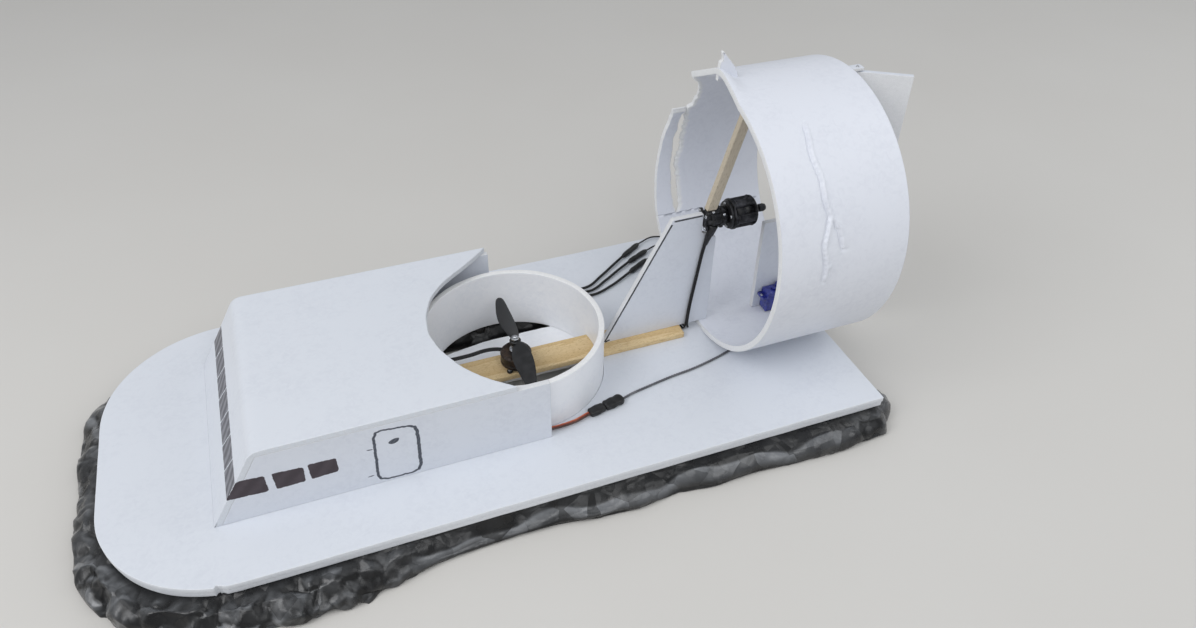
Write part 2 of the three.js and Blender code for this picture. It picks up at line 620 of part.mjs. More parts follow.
// Lift motor leads into the cabin
add('lift_motor_lead', swept([
  [-25.3, -9.6, 7.2], [-23.4, -15.4, 7.4], [-18.6, -19.4, 7.8], [-7.2, -22, 8], [9.4, -20.4, 8],
  [23.3, -20.2, 8], [36, -20.6, 8], [45.2, -21, 8.2],
], ribbonSection(3, 1.2, true), 40), 'wire');

export default craft;
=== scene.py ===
import bmesh
import bpy
import numpy as np
from mathutils import Matrix


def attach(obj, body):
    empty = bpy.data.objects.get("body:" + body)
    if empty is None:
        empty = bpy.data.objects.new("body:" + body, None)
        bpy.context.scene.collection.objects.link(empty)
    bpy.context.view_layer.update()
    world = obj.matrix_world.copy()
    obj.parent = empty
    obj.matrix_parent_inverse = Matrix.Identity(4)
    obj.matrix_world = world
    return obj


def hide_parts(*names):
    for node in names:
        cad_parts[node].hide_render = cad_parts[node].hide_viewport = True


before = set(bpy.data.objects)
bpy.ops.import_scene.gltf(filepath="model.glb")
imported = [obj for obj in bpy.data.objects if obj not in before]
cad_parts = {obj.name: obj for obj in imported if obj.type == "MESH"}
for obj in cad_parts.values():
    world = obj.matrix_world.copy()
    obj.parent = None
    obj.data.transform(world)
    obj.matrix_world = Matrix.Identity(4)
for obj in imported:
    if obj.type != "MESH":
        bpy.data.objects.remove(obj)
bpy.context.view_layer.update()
scene = bpy.context.scene


# Camera, at the picture's viewing angle above the port bow.
# Places on the craft are written in deck millimetres: x from amidships to the bow, y to port, z up from the deck's top.
DECK_ORIGIN = np.array([0.01464, -0.00322, 0.030])


def on_deck(points):
    """Deck millimetres to metres in the frame: points / 1000 + DECK_ORIGIN."""
    return np.asarray(points, float) / 1000 + DECK_ORIGIN


CAMERA_AT = (122.1, 579.3, 550.0)
LOOK_BEARING, LOOK_HEIGHT, LOOK_ROLL = np.radians([68.44, 39.32, 1.01])
PICTURE_WIDTH = 1196
FOCAL_PIXELS = 890.1

back = np.array([np.cos(LOOK_HEIGHT) * np.cos(LOOK_BEARING), np.cos(LOOK_HEIGHT) * np.sin(LOOK_BEARING),
                 np.sin(LOOK_HEIGHT)])
level = np.cross(-back, [0, 0, 1])
level /= np.linalg.norm(level)
upright = np.cross(level, -back)
turn = np.array([[np.cos(LOOK_ROLL), np.sin(LOOK_ROLL)], [-np.sin(LOOK_ROLL), np.cos(LOOK_ROLL)]])
right, up = turn @ np.stack([level, upright])
lens = bpy.data.cameras.new("camera")
lens.sensor_width = 36
lens.lens = FOCAL_PIXELS / PICTURE_WIDTH * lens.sensor_width
lens.clip_end = 50
camera = bpy.data.objects.new("camera", lens)
scene.collection.objects.link(camera)
placed = np.eye(4)
placed[:3] = np.stack([right, up, back, on_deck(CAMERA_AT)], axis=1)
camera.matrix_world = Matrix(placed.tolist())
scene.camera = camera


# Floor and light: a plain pale floor, daylight as wide soft lamps from the port side, the bow and the stern, and an
# even pale sky that fills the shadows.
def shade(red, green, blue):
    """Colour counted 0 to 255 as a screen shows it, to light values: ((c + 0.055) / 1.055) ** 2.4 of c / 255."""
    c = np.array([red, green, blue]) / 255
    return (*((c + 0.055) / 1.055) ** 2.4, 1.0)


class Nodes:
    """Short forms for one node tree. Inputs are values or sockets, and all but add and group return one socket."""

    def __init__(self, tree):
        self.tree = tree

    def add(self, kind, inputs, **settings):
        node = self.tree.nodes.new("ShaderNode" + kind)
        for key, value in settings.items():
            setattr(node, key, value)
        for key, value in inputs.items():
            if isinstance(value, bpy.types.NodeSocket):
                self.tree.links.new(value, node.inputs[key])
            else:
                node.inputs[key].default_value = value
        return node.outputs

    def group(self, tree, vector, **inputs):
        return self.add("Group", {"Vector": vector, **inputs}, node_tree=tree)

    def mark(self):
        return self.add("Attribute", {}, attribute_name="bare_core_and_painted_light")["Fac"]

    def noise(self, vector, scale, detail, output="Fac", **more):
        return self.add("TexNoise", {"Vector": vector, "Scale": scale, "Detail": detail, **more})[output]

    def cells(self, vector, scale, feature="F1"):
        return self.add("TexVoronoi", {"Vector": vector, "Scale": scale}, feature=feature)

    def math(self, a, b, operation="MULTIPLY"):
        return self.add("Math", {0: a, 1: b}, operation=operation)[0]

    def vector(self, a, b, operation="ADD"):
        return self.add("VectorMath", {0: a, 1: b}, operation=operation)["Vector"]

    def bent(self, vector, scale, amount):
        push = self.add("VectorMath", {0: self.noise(vector, scale, 2.0, "Color"), "Scale": amount}, operation="SCALE")
        return self.vector(vector, push["Vector"])

    def mix(self, factor, a, b, data_type="FLOAT"):
        return self.add("Mix", {"Factor": factor, "A": a, "B": b}, data_type=data_type)["Result"]

    def colour(self, factor, a, b):
        return self.mix(factor, *(shade(*c) if isinstance(c, tuple) else c for c in (a, b)), "RGBA")

    def span(self, value, low, high, to_low=0.0, to_high=1.0):
        return self.add("MapRange", {"Value": value, "From Min": low, "From Max": high, "To Min": to_low,
                                     "To Max": to_high})["Result"]


def material(name, build, **plain):
    """A new material with plain values on its Principled shader. build(nodes, Object coordinates) returns what feeds
    the shader's inputs; a Height there goes through a bump node."""
    made = bpy.data.materials.new(name)
    made.use_nodes = True
    nodes, shader = Nodes(made.node_tree), made.node_tree.nodes["Principled BSDF"].inputs
    for key, value in plain.items():
        shader[key.replace("_", " ")].default_value = value
    fed = build(nodes, nodes.add("TexCoord", {})["Object"])
    if "Height" in fed:
        fed["Normal"] = nodes.add("Bump", {"Height": fed.pop("Height"), "Distance": 1.0})["Normal"]
    for key, socket in fed.items():
        made.node_tree.links.new(socket, shader[key])
    return made


FLOOR_HALF = 6.0
floor_mesh = bpy.data.meshes.new("floor")
floor_mesh.from_pydata([(x * FLOOR_HALF, y * FLOOR_HALF, 0) for x, y in ((-1, -1), (1, -1), (1, 1), (-1, 1))],
                       [], [(0, 1, 2, 3)])
floor = bpy.data.objects.new("floor", floor_mesh)
scene.collection.objects.link(floor)
floor_mesh.materials.append(material("pale_floor", lambda n, where: {
    "Base Color": n.colour(n.span(n.noise(where, 3.0, 3.0), 0.0, 1.0), (206, 203, 198), (212, 210, 206))},
    Roughness=0.6, Specular_IOR_Level=0.3))

LAMP_WIDTH, LAMPS_FACE = 1.4, np.array([0.0, 0.0, 0.08])
LAMPS = {
    # name: (place in metres, watts, colour)
    "port_high": ((-0.3, 1.3, 1.8), 9.6, (0.98, 0.99, 1.0)), "port_low": ((0.3, 1.7, 1.0), 2.3, (0.98, 0.99, 1.0)),
    "bow_high": ((1.4, 0.4, 1.7), 15.3, (0.99, 0.99, 1.0)), "bow_low": ((1.7, 0.3, 1.1), 3.3, (1.0, 0.99, 0.98)),
    "stern": ((-1.7, 0.2, 1.2), 6.1, (0.98, 0.99, 1.0))}
for name, (place, watts, colour) in LAMPS.items():
    lamp = bpy.data.lights.new(name, "AREA")
    lamp.shape = "DISK"
    lamp.size, lamp.energy, lamp.color = LAMP_WIDTH, watts, colour
    holder = bpy.data.objects.new(name, lamp)
    scene.collection.objects.link(holder)
    aim = np.array(place) - LAMPS_FACE
    side = np.cross([0, 1, 0.2], aim)
    rise = np.cross(aim, side)
    basis = np.stack([*(v / np.linalg.norm(v) for v in (side, rise, aim)), place], axis=1)
    holder.matrix_world = Matrix(np.vstack([basis, [0, 0, 0, 1]]).tolist())
scene.world = scene.world or bpy.data.worlds.new("sky")
scene.world.use_nodes = True
sky = scene.world.node_tree.nodes["Background"].inputs
sky["Color"].default_value = (0.93, 0.96, 1.0, 1.0)
sky["Strength"].default_value = 0.48
scene.view_settings.view_transform = "Standard"


# Deck: two foam boards glued face to face, cut by hand with a square stern, round bow corners and a round
# opening for the lift tube. Its skins are smooth laminated film, its cut edges are bare foam.
def skin(name, *grids, along=False, caps=None, bare_core_and_painted_light=None):
    """One mesh from grids of deck points (rows, columns, 3): cells become faces and columns close on themselves.
    along joins the last row to the first. caps fills the end rows: "each" grid's own, or the ring "between" grids.
    The mark given point by point says what is bare foam core on a board; on the skirt's film it carries painted light."""
    points, faces, ends, start = [], [], [], 0
    for grid in grids:
        rows, columns = grid.shape[:2]
        index = np.arange(rows * columns).reshape(rows, columns) + start
        looped = np.concatenate([index, index[:1]]) if along else index
        looped = np.concatenate([looped, looped[:, :1]], axis=1)
        faces += np.stack([looped[:-1, :-1], looped[:-1, 1:], looped[1:, 1:], looped[1:, :-1]],
                          axis=-1).reshape(-1, 4).tolist()
        ends.append((set(index[0].tolist()), set(index[-1].tolist())))
        points.append(on_deck(grid.reshape(-1, 3)))
        start += rows * columns
    mesh = bpy.data.meshes.new(name)
    mesh.from_pydata(np.concatenate(points).tolist(), [], faces)
    work = bmesh.new()
    work.from_mesh(mesh)
    groups = [end for pair in ends for end in pair] if caps == "each" else [set().union(*e) for e in zip(*ends)]
    for group in groups if caps else []:
        open_edges = [e for e in work.edges if e.is_boundary and {v.index for v in e.verts} <= group]
        bmesh.ops.triangle_fill(work, edges=open_edges, use_beauty=True)
    bmesh.ops.recalc_face_normals(work, faces=work.faces)
    work.to_mesh(mesh)
    work.free()
    mesh.polygons.foreach_set("use_smooth", np.ones(len(mesh.polygons), bool))
    if bare_core_and_painted_light is not None:
        mark = mesh.attributes.new("bare_core_and_painted_light", "FLOAT", "POINT")
        mark.data.foreach_set("value", np.asarray(bare_core_and_painted_light, np.float32).ravel())
    made = bpy.data.objects.new(name, mesh)
    scene.collection.objects.link(made)
    return made


def fit(made, finish, slot, *nodes, body="hull"):
    """Gives a piece its finish, has it ride on its body and stand for the CAD nodes it replaces."""
    made.data.materials.append(finish)
    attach(made, body)
    if nodes:
        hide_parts(*nodes)
    return made


def solid(name, grids, finish, slot, *nodes, body="hull", bare_core_and_painted_light=None):
    """A piece of one finish from closed grids, each with its own end caps."""
    return fit(skin(name, *grids, caps="each", bare_core_and_painted_light=bare_core_and_painted_light), finish, slot, *nodes, body=body)


def turns(count):
    """Angles of a whole turn in even steps."""
    return np.linspace(0, 2 * np.pi, count, endpoint=False)


def arc(radius, start=0.0, stop=2 * np.pi, count=24, centre=(0.0, 0.0)):
    """Points round a centre, from one angle to the other. A whole turn stops short of its first point."""
    a = np.linspace(start, stop, count, endpoint=stop - start < 2 * np.pi)
    return np.stack([radius * np.cos(a), radius * np.sin(a)], axis=-1) + centre


def spin(degrees):
    """Matrix that turns rows of plane points about the origin: points @ spin(degrees). Its first row points there."""
    c, s = np.cos(np.radians(degrees)), np.sin(np.radians(degrees))
    return np.array([[c, s], [-s, c]])


def lengths_along(points):
    """How far each point of a line lies along it."""
    return np.concatenate([[0], np.cumsum(np.linalg.norm(np.diff(points, axis=0), axis=1))])


def walked(points, step, waver=0.0, seed=0):
    """Closed outline (n, 2) walked at even steps and cut by hand: pushed in and out by waver times a sum of
    sines of the way round, each with its own phase."""
    p = np.asarray(points, float)
    p = np.vstack([p, p[:1]])
    way = lengths_along(p)
    at = np.linspace(0, way[-1], max(12, int(way[-1] / step)), endpoint=False)
    line = np.stack([np.interp(at, way, p[:, 0]), np.interp(at, way, p[:, 1])], axis=1)
    if waver:
        waves = np.array([3, 7, 12, 19, 31, 47])
        phase = np.random.default_rng(seed).uniform(0, 2 * np.pi, len(waves))
        push = np.sin(2 * np.pi * np.outer(at / way[-1], waves) + phase).sum(axis=1)
        line = line + waver * push[:, None] * inward(line)
    return line


def inward(outline):
    """Mitre of each corner of a closed outline: (n1 + n2) / (1 + n1.n2), with n1 and n2 its edges' normals."""
    ahead = np.roll(outline, -1, axis=0) - outline
    ahead /= np.linalg.norm(ahead, axis=1, keepdims=True)
    turned = np.stack([-ahead[:, 1], ahead[:, 0]], axis=1)
    before = np.roll(turned, 1, axis=0)
    area = (outline[:, 0] * np.roll(outline[:, 1], -1) - outline[:, 1] * np.roll(outline[:, 0], -1)).sum()
    mitre = (turned + before) / np.maximum(1 + (turned * before).sum(axis=1, keepdims=True), 0.5)
    return mitre * np.sign(area)


PLANES = {"xy": np.eye(3), "xz": np.eye(3)[[0, 2, 1]], "yz": np.eye(3)[[1, 2, 0]]}
QUARTER = np.linspace(0, np.pi / 2, 4)


def rim(soft, low, high):
    """Section of a board's edge as (distance in from the outline, height): flat, quarter round, wall, quarter
    round, flat. Quarter rounds are soft * (1 - sin a), soft * (1 - cos a)."""
    round_in, round_up = soft * (1 - np.sin(QUARTER)), soft * (1 - np.cos(QUARTER))
    inset = np.concatenate([[2.2 * soft], round_in, round_in[::-1], [2.2 * soft]])
    height = np.concatenate([[low], low + round_up, high - round_up[::-1], [high]])
    wall = np.concatenate([[0, 0], np.ones(6), [0, 0]])
    return inset, height, wall


def laid(a, b, depth, plane):
    """Points from two coordinates in a plane and a depth off it: a A + b B + depth D + origin, with A, B, D rows."""
    a, b, depth = (v[..., None] for v in np.broadcast_arrays(a, b, depth))
    rows = np.vstack([PLANES[plane], np.zeros(3)]) if isinstance(plane, str) else plane
    return a * rows[0] + b * rows[1] + depth * rows[2] + rows[3]


def edge_band(outline, low, high, plane="xy", soft=0.25, way=1):
    """Cut edge of a board: row k is the outline moved in by the rim's inset k, at its height k. way is -1 for the
    edge of an opening, which moves out instead. Also says where the bare wall is."""
    inset, height, wall = rim(soft, low, high)
    flat = outline[None] + way * inset[:, None, None] * inward(outline)[None]
    return laid(flat[..., 0], flat[..., 1], height[:, None], plane), np.repeat(wall, len(outline))


def board(name, outline, low, high, plane="xy", soft=0.35, openings=()):
    """Plate cut to an outline (n, 2) between two heights, with any openings (m, 2) cut through it."""
    bands = [edge_band(outline, low, high, plane, soft)]
    bands += [edge_band(opening, low, high, plane, soft, way=-1) for opening in openings]
    return skin(name, *[grid for grid, _ in bands], caps="between", bare_core_and_painted_light=np.concatenate([mark for _, mark in bands]))


def effect(**inputs):
    """Makes a shader node group of a function of (nodes, position, *inputs) that returns {output: socket}."""
    def grouped(build):
        tree = bpy.data.node_groups.new(build.__name__, "ShaderNodeTree")
        tree.interface.new_socket("Vector", in_out="INPUT", socket_type="NodeSocketVector")
        for key, value in inputs.items():
            tree.interface.new_socket(key, in_out="INPUT", socket_type="NodeSocketFloat").default_value = value
        given = tree.nodes.new("NodeGroupInput").outputs
        results = build(Nodes(tree), given["Vector"], *(given[key] for key in inputs))
        for key in results:
            tree.interface.new_socket(key, in_out="OUTPUT", socket_type="NodeSocketFloat")
        outputs = tree.nodes.new("NodeGroupOutput").inputs
        for key, socket in results.items():
            tree.links.new(socket, outputs[key])
        return tree
    return grouped


@effect(Waves=0.0004, Peel=0.00001)
def board_skin(n, at, waves, peel):
    """Laminated skin of foam board: long shallow waves, a fine orange-peel and faint handling smudges."""
    dirt = n.math(n.noise(at, 24.0, 5.0, Roughness=0.62), n.noise(at, 210.0, 3.0, Distortion=0.8))
    relief = n.math(n.math(n.noise(at, 13.0, 1.0), waves), n.math(n.noise(at, 900.0, 2.0), peel), "ADD")
    return {"Smudge": n.span(dirt, 0.22, 0.5), "Height": relief}


@effect(Depth=0.00012)
def foam_core(n, at, depth):
    """Bare foam core: small closed cells and knife drag."""
    both = n.math(n.cells(at, 1500.0)["Distance"], n.noise(at, 380.0, 3.0), "ADD")
    return {"Cells": n.span(both, 0.4, 1.5), "Height": n.math(both, depth)}


def foam_board(name, coat, smudge, core, waves):
    """Foam board: laminated skin with smudges where the point mark is 0, cellular core where it is 1."""
    def build(n, where):
        bare_core_and_painted_light, film, foam = n.mark(), n.group(board_skin, where, Waves=waves), n.group(foam_core, where)
        light = shade(*core)
        deep = (*(0.88 * c for c in light[:3]), 1.0)
        return {"Base Color": n.mix(bare_core_and_painted_light, n.colour(film["Smudge"], coat, smudge),
                                    n.mix(foam["Cells"], light, deep, "RGBA"), "RGBA"),
                "Roughness": n.mix(bare_core_and_painted_light, n.span(film["Smudge"], 0.0, 1.0, 0.36, 0.48), 0.9),
                "Height": n.mix(bare_core_and_painted_light, film["Height"], foam["Height"])}
    return material(name, build, Specular_IOR_Level=0.45)


DECK_HALF = 149.0
STERN, BOW = -320.0, 320.0
BOW_RADIUS = 102.0
LIFT_X, LIFT_OPENING = -26.0, 81.3
bow_arc = arc(BOW_RADIUS, 0, np.pi / 2, 60) + (BOW - BOW_RADIUS, DECK_HALF - BOW_RADIUS)
NICK = [(238.9, 147.6), (236.6, 144.4), (235.2, 146.9), (234.4, 146.0), (230.9, 148.4)]
port_bow = np.vstack([bow_arc[bow_arc[:, 0] > 239.5], NICK, bow_arc[bow_arc[:, 0] < 230]])
deck_outline = np.vstack([[(STERN, -DECK_HALF)], bow_arc[::-1] * (1, -1), port_bow, [(STERN, DECK_HALF)]])
opening = arc(LIFT_OPENING, count=300, centre=(LIFT_X, 0))
white_board = foam_board("white_foam_board", (218, 222, 229), (211, 215, 223), (231, 234, 239), 0.0003)
for name, node, low, high, setback in (("deck_top_board", "deck_upper", -4.99, 0.0, 0.0),
                                       ("deck_bottom_board", "deck_lower", -10.0, -5.01, 0.6)):
    edge = walked(deck_outline, 1.6, waver=0.05, seed=int(-low))
    edge = edge + setback * inward(edge)
    fit(board(name, edge, low, high, soft=0.4, openings=[opening]), white_board, "foam_board", node)


# Skirt: a tube of thin black polythene film, gathered and taped under the deck's edge. Without air it lies slack
# on the floor: crumpled hard at the port bow, in long folds along the port side, bunched up at the stern corners.
# The film's runs, in millimetres from the stern's starboard corner: starboard side, bow corner, bow, port bow
# corner, port side in three, stern corner, stern, stern corner.
FILM_PARTS = np.array([516, 172, 94, 172, 150, 170, 225, 28, 280, 28])
FILM = np.array([
    # way round from the stern's starboard corner, reach beyond the deck, ridge's height, crush, folds, pleats
    [0, 13, 13, 0.6, 0.5, 1.0], [25, 12, 13, 0.6, 0.6, 0.2], [250, 12, 14, 0.6, 0.7, 0], [516, 13, 14, 0.8, 0.4, 0],
    [600, 20, 15, 0.9, 0.4, 0.2], [688, 22, 14, 0.8, 0.5, 0], [740, 21.5, 15, 0.8, 0.5, 0], [798, 20, 15, 1, 0.3, 0.1],
    [822, 25, 16, 1.3, 0.2, 0.2], [862, 24, 17, 1.4, 0.2, 0.1], [954, 26, 17, 1.4, 0.2, 0], [995, 29, 17, 1.3, 0.3, 0],
    [1041, 26.5, 15, 1.2, 0.4, 0], [1066, 18.5, 13, 0.7, 0.8, 0], [1097, 12, 11, 0.3, 1, 0], [1129, 8.8, 10, 0.2, 1, 0],
    [1161, 8.3, 10, 0.2, 1, 0], [1194, 9.6, 11, 0.25, 1, 0], [1226, 15, 12, 0.3, 1.1, 0], [1260, 17, 14, 0.3, 1, 0],
    [1298, 12.6, 14, 0.3, 0.9, 0], [1333, 18.6, 15, 0.15, 0.8, 0], [1373, 17.5, 16, 0.12, 0.8, 0],
    [1412, 20, 16, 0.2, 0.7, 0], [1464, 20.5, 17, 0.4, 0.6, 0], [1480, 21, 18, 0.7, 0.3, 0.8],
    [1500, 20, 18, 0.8, 0, 1.1], [1512, 10, 15, 0.5, 0, 0.6], [1524, 14, 19, 0.8, 0, 1.1],
    [1545, 13, 16, 0.7, 0.2, 0.6], [1580, 13, 13, 0.6, 0.5, 0], [1780, 13, 13, 0.6, 0.5, 0],
    [1835, 13, 13, 0.6, 0.5, 1.0]])
FILM_STEP = 1.33
FLOOR_Z, DECK_UNDER = -30.0, -10.0
STERN_RADIUS = 8.0


def curve_through(points, per_span):
    """Centripetal Catmull-Rom curve: between points b and c a cubic whose end slopes are
    (b - a) / s - (c - a) / (s + t) + (c - b) / t, with s and t the square roots of the spans' lengths."""
    p = np.asarray(points, float)
    p = np.concatenate([2 * p[:1] - p[1:2], p, 2 * p[-1:] - p[-2:-1]])
    root = np.sqrt(np.maximum(np.linalg.norm(np.diff(p, axis=0), axis=-1, keepdims=True), 1e-6))
    a, b, c, d = p[:-3], p[1:-2], p[2:-1], p[3:]
    s, t, u = root[:-2], root[1:-1], root[2:]
    leave = ((b - a) / s - (c - a) / (s + t) + (c - b) / t) * t
    arrive = ((c - b) / t - (d - b) / (t + u) + (d - c) / u) * t
    f = (np.arange(per_span) / per_span).reshape(-1, *[1] * p.ndim)
    runs = ((2 * f ** 3 - 3 * f ** 2 + 1) * b + (f ** 3 - 2 * f ** 2 + f) * leave
            + (3 * f ** 2 - 2 * f ** 3) * c + (f ** 3 - f ** 2) * arrive)
    return np.concatenate([runs.swapaxes(0, 1).reshape(-1, *p.shape[1:]), p[-2:-1]])


def deck_edge(reach, part, t):
    """The deck's outline grown by reach: straight runs joined by quarter circles of the bow's or stern's radius
    plus reach. part is the run and t the way along it, 0 to 1."""
    x0, x1, y = STERN - reach, BOW + reach, DECK_HALF + reach
    rb, rs = np.maximum(4, BOW_RADIUS + reach), np.maximum(4, STERN_RADIUS + reach)
    xb, xs = x1 - rb, x0 + rs
    c, s = np.cos(t * np.pi / 2), np.sin(t * np.pi / 2)
    one = np.ones_like(reach)
    x = np.choose(part, [xs + (xb - xs) * t, xb + rb * s, x1 * one, xb + rb * c, xb + (75 - xb) * t,
                         (75 - 170 * t) * one, -95 + (xs + 95) * t, xs - rs * s, x0 * one, xs - rs * c])
    y = np.choose(part, [-y * one, rb - y - rb * c, rb - y + 2 * (y - rb) * t, y - rb + rb * s, y * one, y * one,
                         y * one, y - rs + rs * c, y - rs - 2 * (y - rs) * t, rs - y - rs * s])
    return x, y


def facets(around, across, cell, high, seed):
    """Crushed film: heights drawn by lot on a lattice of triangles of the cell's size, high at the most, and inside
    each triangle the plane through its three corners. Slow sines bend the lattice, and it closes on itself."""
    dice = np.random.default_rng(seed)
    count = int(round(LOOP / cell[0]))
    levels = high * dice.choice([-1, -0.5, 0.1, 0.6, 1], (count, 64))
    lap = 2 * np.pi * around / LOOP
    v = across / cell[1] + 0.35 * np.sin(int(count / 3.3) * lap + 1) + 3
    a = around / LOOP * count - v / 2 + 0.4 * np.sin(int(count / 4.6) * lap) * np.sin(1.1 * v)
    i, j = np.floor(a).astype(int), np.floor(v).astype(int)
    fa, fv = a - i, v - j
    level = lambda right, up: levels[(i + right) % count, (j + up) % 64]
    near = level(0, 0) + fa * (level(1, 0) - level(0, 0)) + fv * (level(0, 1) - level(0, 0))
    beyond = level(1, 1) + (1 - fa) * (level(0, 1) - level(1, 1)) + (1 - fv) * (level(1, 0) - level(1, 1))
    return np.where(fa + fv < 1, near, beyond)


LOOP = FILM_PARTS.sum()
samples = np.round(FILM_PARTS / FILM_STEP).astype(int)
part = np.repeat(np.arange(10), samples)
t = np.concatenate([np.arange(n) / n for n in samples])
station = np.concatenate([[0], np.cumsum(FILM_PARTS)])[part] + FILM_PARTS[part] * t
reach, ridge, crush, folds, gather = (np.interp(station, FILM[:, 0], FILM[:, k]) for k in range(1, 6))
lap = 2 * np.pi * station / LOOP
ridge = ridge + 0.8 * np.sin(31 * lap + 0.7) + 0.5 * np.sin(74 * lap)
profile = np.stack([np.stack(np.broadcast_arrays(beyond + 0 * reach, height), axis=1) for beyond, height in (
    # distance beyond the deck's edge and height of the film's section, from the tape over the ridge to the floor
    (-68, DECK_UNDER - 0.2), (-14, DECK_UNDER - 0.06), (-2.0, DECK_UNDER - 0.15),
    (-1.0 + 0.06 * (ridge - 10) * reach, DECK_UNDER - 2.6 + 0.12 * (ridge - 10)), (0.55 * reach, FLOOR_Z + ridge),
    (0.93 * reach, FLOOR_Z + 0.62 * ridge), (reach, FLOOR_Z + 3.6), (0.93 * reach, FLOOR_Z + 0.9),
    (0.7 * reach, FLOOR_Z + 0.3), (-14, FLOOR_Z + 0.2), (-75, FLOOR_Z + 0.4), (-79, FLOOR_Z + 6),
    (-72, DECK_UNDER - 5))])
kept = np.r_[0, 4, 8, 12, 16:64, 64, 68, 72:97:4]
smooth = curve_through(profile, 8)[kept]
along = np.gradient(smooth, axis=0)
along /= np.linalg.norm(along, axis=-1, keepdims=True)
outward = np.stack([-along[..., 1], along[..., 0]], axis=-1)
ROW_STEP = 1.05
across, way = np.broadcast_arrays(kept[:, None] * ROW_STEP, station)
crushed = (facets(way, across, (19.0, 14.0), 2.6, 12) + facets(way, across, (10.0, 8.0), 1.7, 5)
           + facets(way, across, (5.2, 4.6), 0.55, 8))
long_folds = facets(way, across, (62.0, 8.0), 1.3, 3) + facets(way, across, (27.0, 5.0), 0.4, 21)
pleats = facets(way, across, (7.5, 26.0), 1.9, 17)
hold = np.interp(kept, [8, 16, 21, 28, 52, 60, 72, 80, 90, 96], [0, 0, 0.5, 0.9, 1.0, 0.35, 0.1, 0.1, 0.4, 0.2])
raised = (crush * crushed + folds * long_folds + gather * pleats) * hold[:, None]
film_rz = smooth + outward * raised[..., None]
film_reach = np.minimum(film_rz[..., 0], reach + 1.0)
film_z = np.clip(film_rz[..., 1], FLOOR_Z + 0.12, np.where(film_reach < 0.6, DECK_UNDER - 0.06, -6.5))
film_x, film_y = deck_edge(film_reach, part, t)
# The film's painted light, handed to its finish in the point mark: paler on slopes that face up and out, painted
# shade in the valleys, none where the film is tucked under the deck's edge, fading out towards the floor, none on
# its inner side under the deck, and on the calm port side a painted highlight along the ridge with a painted lit band
# that fades below it.
down, sideways = np.gradient(raised, axis=0) / ROW_STEP, np.gradient(raised, axis=1) / FILM_STEP
valley = np.clip(np.gradient(down, axis=0) / ROW_STEP + np.gradient(sideways, axis=1) / FILM_STEP, 0, 1)
painted_light = np.clip(0.45 + 0.85 * down + 0.6 * sideways - 1.1 * valley, 0, 1) * np.interp(
    kept, [8, 17, 21, 32, 42, 52, 60, 72], [0, 0, 0.85, 1, 0.85, 0.55, 0.3, 0])[:, None]
fold_line = kept[:, None] - (33 + 2.5 * np.sin(13 * lap + 2) + 1.8 * np.sin(29 * lap))
drawn = np.where(fold_line < 0, np.exp(-(fold_line / 1.6) ** 2), np.clip(1 - fold_line / 15, 0, 1) ** 0.8)
painted_light = painted_light + np.clip(1.6 * (folds - crush), 0, 0.9) * (0.05 + 0.8 * drawn - painted_light)
# The film's point mark is this painted light, in place of bare foam core.
skirt = skin("skirt_film", np.stack([film_x, film_y, film_z], axis=-1), along=True, bare_core_and_painted_light=painted_light)


@effect(Scale=130.0, Depth=0.00022)
def fine_creases(n, at, scale, depth):
    """Crinkles of thin film: cracks between cells, and cells of two sizes whose faces lean each its own way."""
    at = n.bent(at, 22.0, 0.008)
    height = n.math(n.cells(at, scale, "DISTANCE_TO_EDGE")["Distance"], depth)
    for size, tilt in ((130.0, 0.2), (48.0, 0.5)):
        cell = n.cells(at, size)
        within = n.vector(at, cell["Position"], "SUBTRACT")
        lean = n.vector(cell["Color"], (0.5, 0.5, 0.5), "SUBTRACT")
        plane = n.add("VectorMath", {0: within, 1: lean}, operation="DOT_PRODUCT")["Value"]
        height = n.math(height, n.math(plane, tilt), "ADD")
    return {"Sheen": n.noise(at, 55.0, 4.0), "Facet": n.math(cell["Color"], 1.0), "Height": height}


def black_film(n, where):
    """Black film, near black where nothing is painted on it. Painted light makes it paler: the point mark's painted
    crest light, varied cell by cell by a random tone, and cloudy patches of painted sheen. It is glossy, as if wet,
    where the painted crest light is, and its roughness follows the sheen patches.
    """
    painted_crest_light, creases = n.mark(), n.group(fine_creases, where)
    tone = n.span(creases["Sheen"], 0.35, 0.65)
    patch = n.span(creases["Facet"], 0.3, 0.7, 0.62, 1.22)
    fill = n.math(n.math(tone, 0.2), n.math(painted_crest_light, patch), "ADD")
    return {"Base Color": n.colour(n.math(fill, fill), (13, 13, 14), (112, 114, 117)),
            "Roughness": n.span(tone, 0.0, 1.0, 0.24, 0.36), "Coat Weight": n.math(painted_crest_light, 0.8),
            "Height": creases["Height"]}


film = material("black_film", black_film, Specular_IOR_Level=0.4, Coat_Roughness=0.14)
fit(skirt, film, "skirt_film", "skirt")


# Cabin cover: one foam board sheet scored and folded over into roof and sloped front, taped and glued on the side
# walls. Its rear edge is cut by hand in a curve that clears the lift tube.
BOARD = 5.0
ROOF, ROOF_UNDER = 67.0, 62.0
FRONT_TOP, FRONT_FOOT = 196.0, 236.0
WALL_PORT, WALL_STARBOARD = 92.75, -98.0
CABIN_REAR = -31.0
ROOF_CUT = np.array([
    # y from starboard to port, x of the roof's rear edge there
    [-99.5, -30.5], [-91, -22], [-80.5, -9], [-67, 9], [-53, 25], [-35, 37], [-12, 44.5], [9, 46.2], [27.8, 42.6],
    [45, 36], [62, 26.5], [76.5, 14], [88, 1.3], [96, -8]])


def slope(depth, z):
    """x of the sloped front at height z, depth inside its outer face."""
    run, drop = FRONT_FOOT - FRONT_TOP, ROOF
    return FRONT_TOP + (ROOF - z) * run / drop - depth * np.hypot(run, drop) / drop


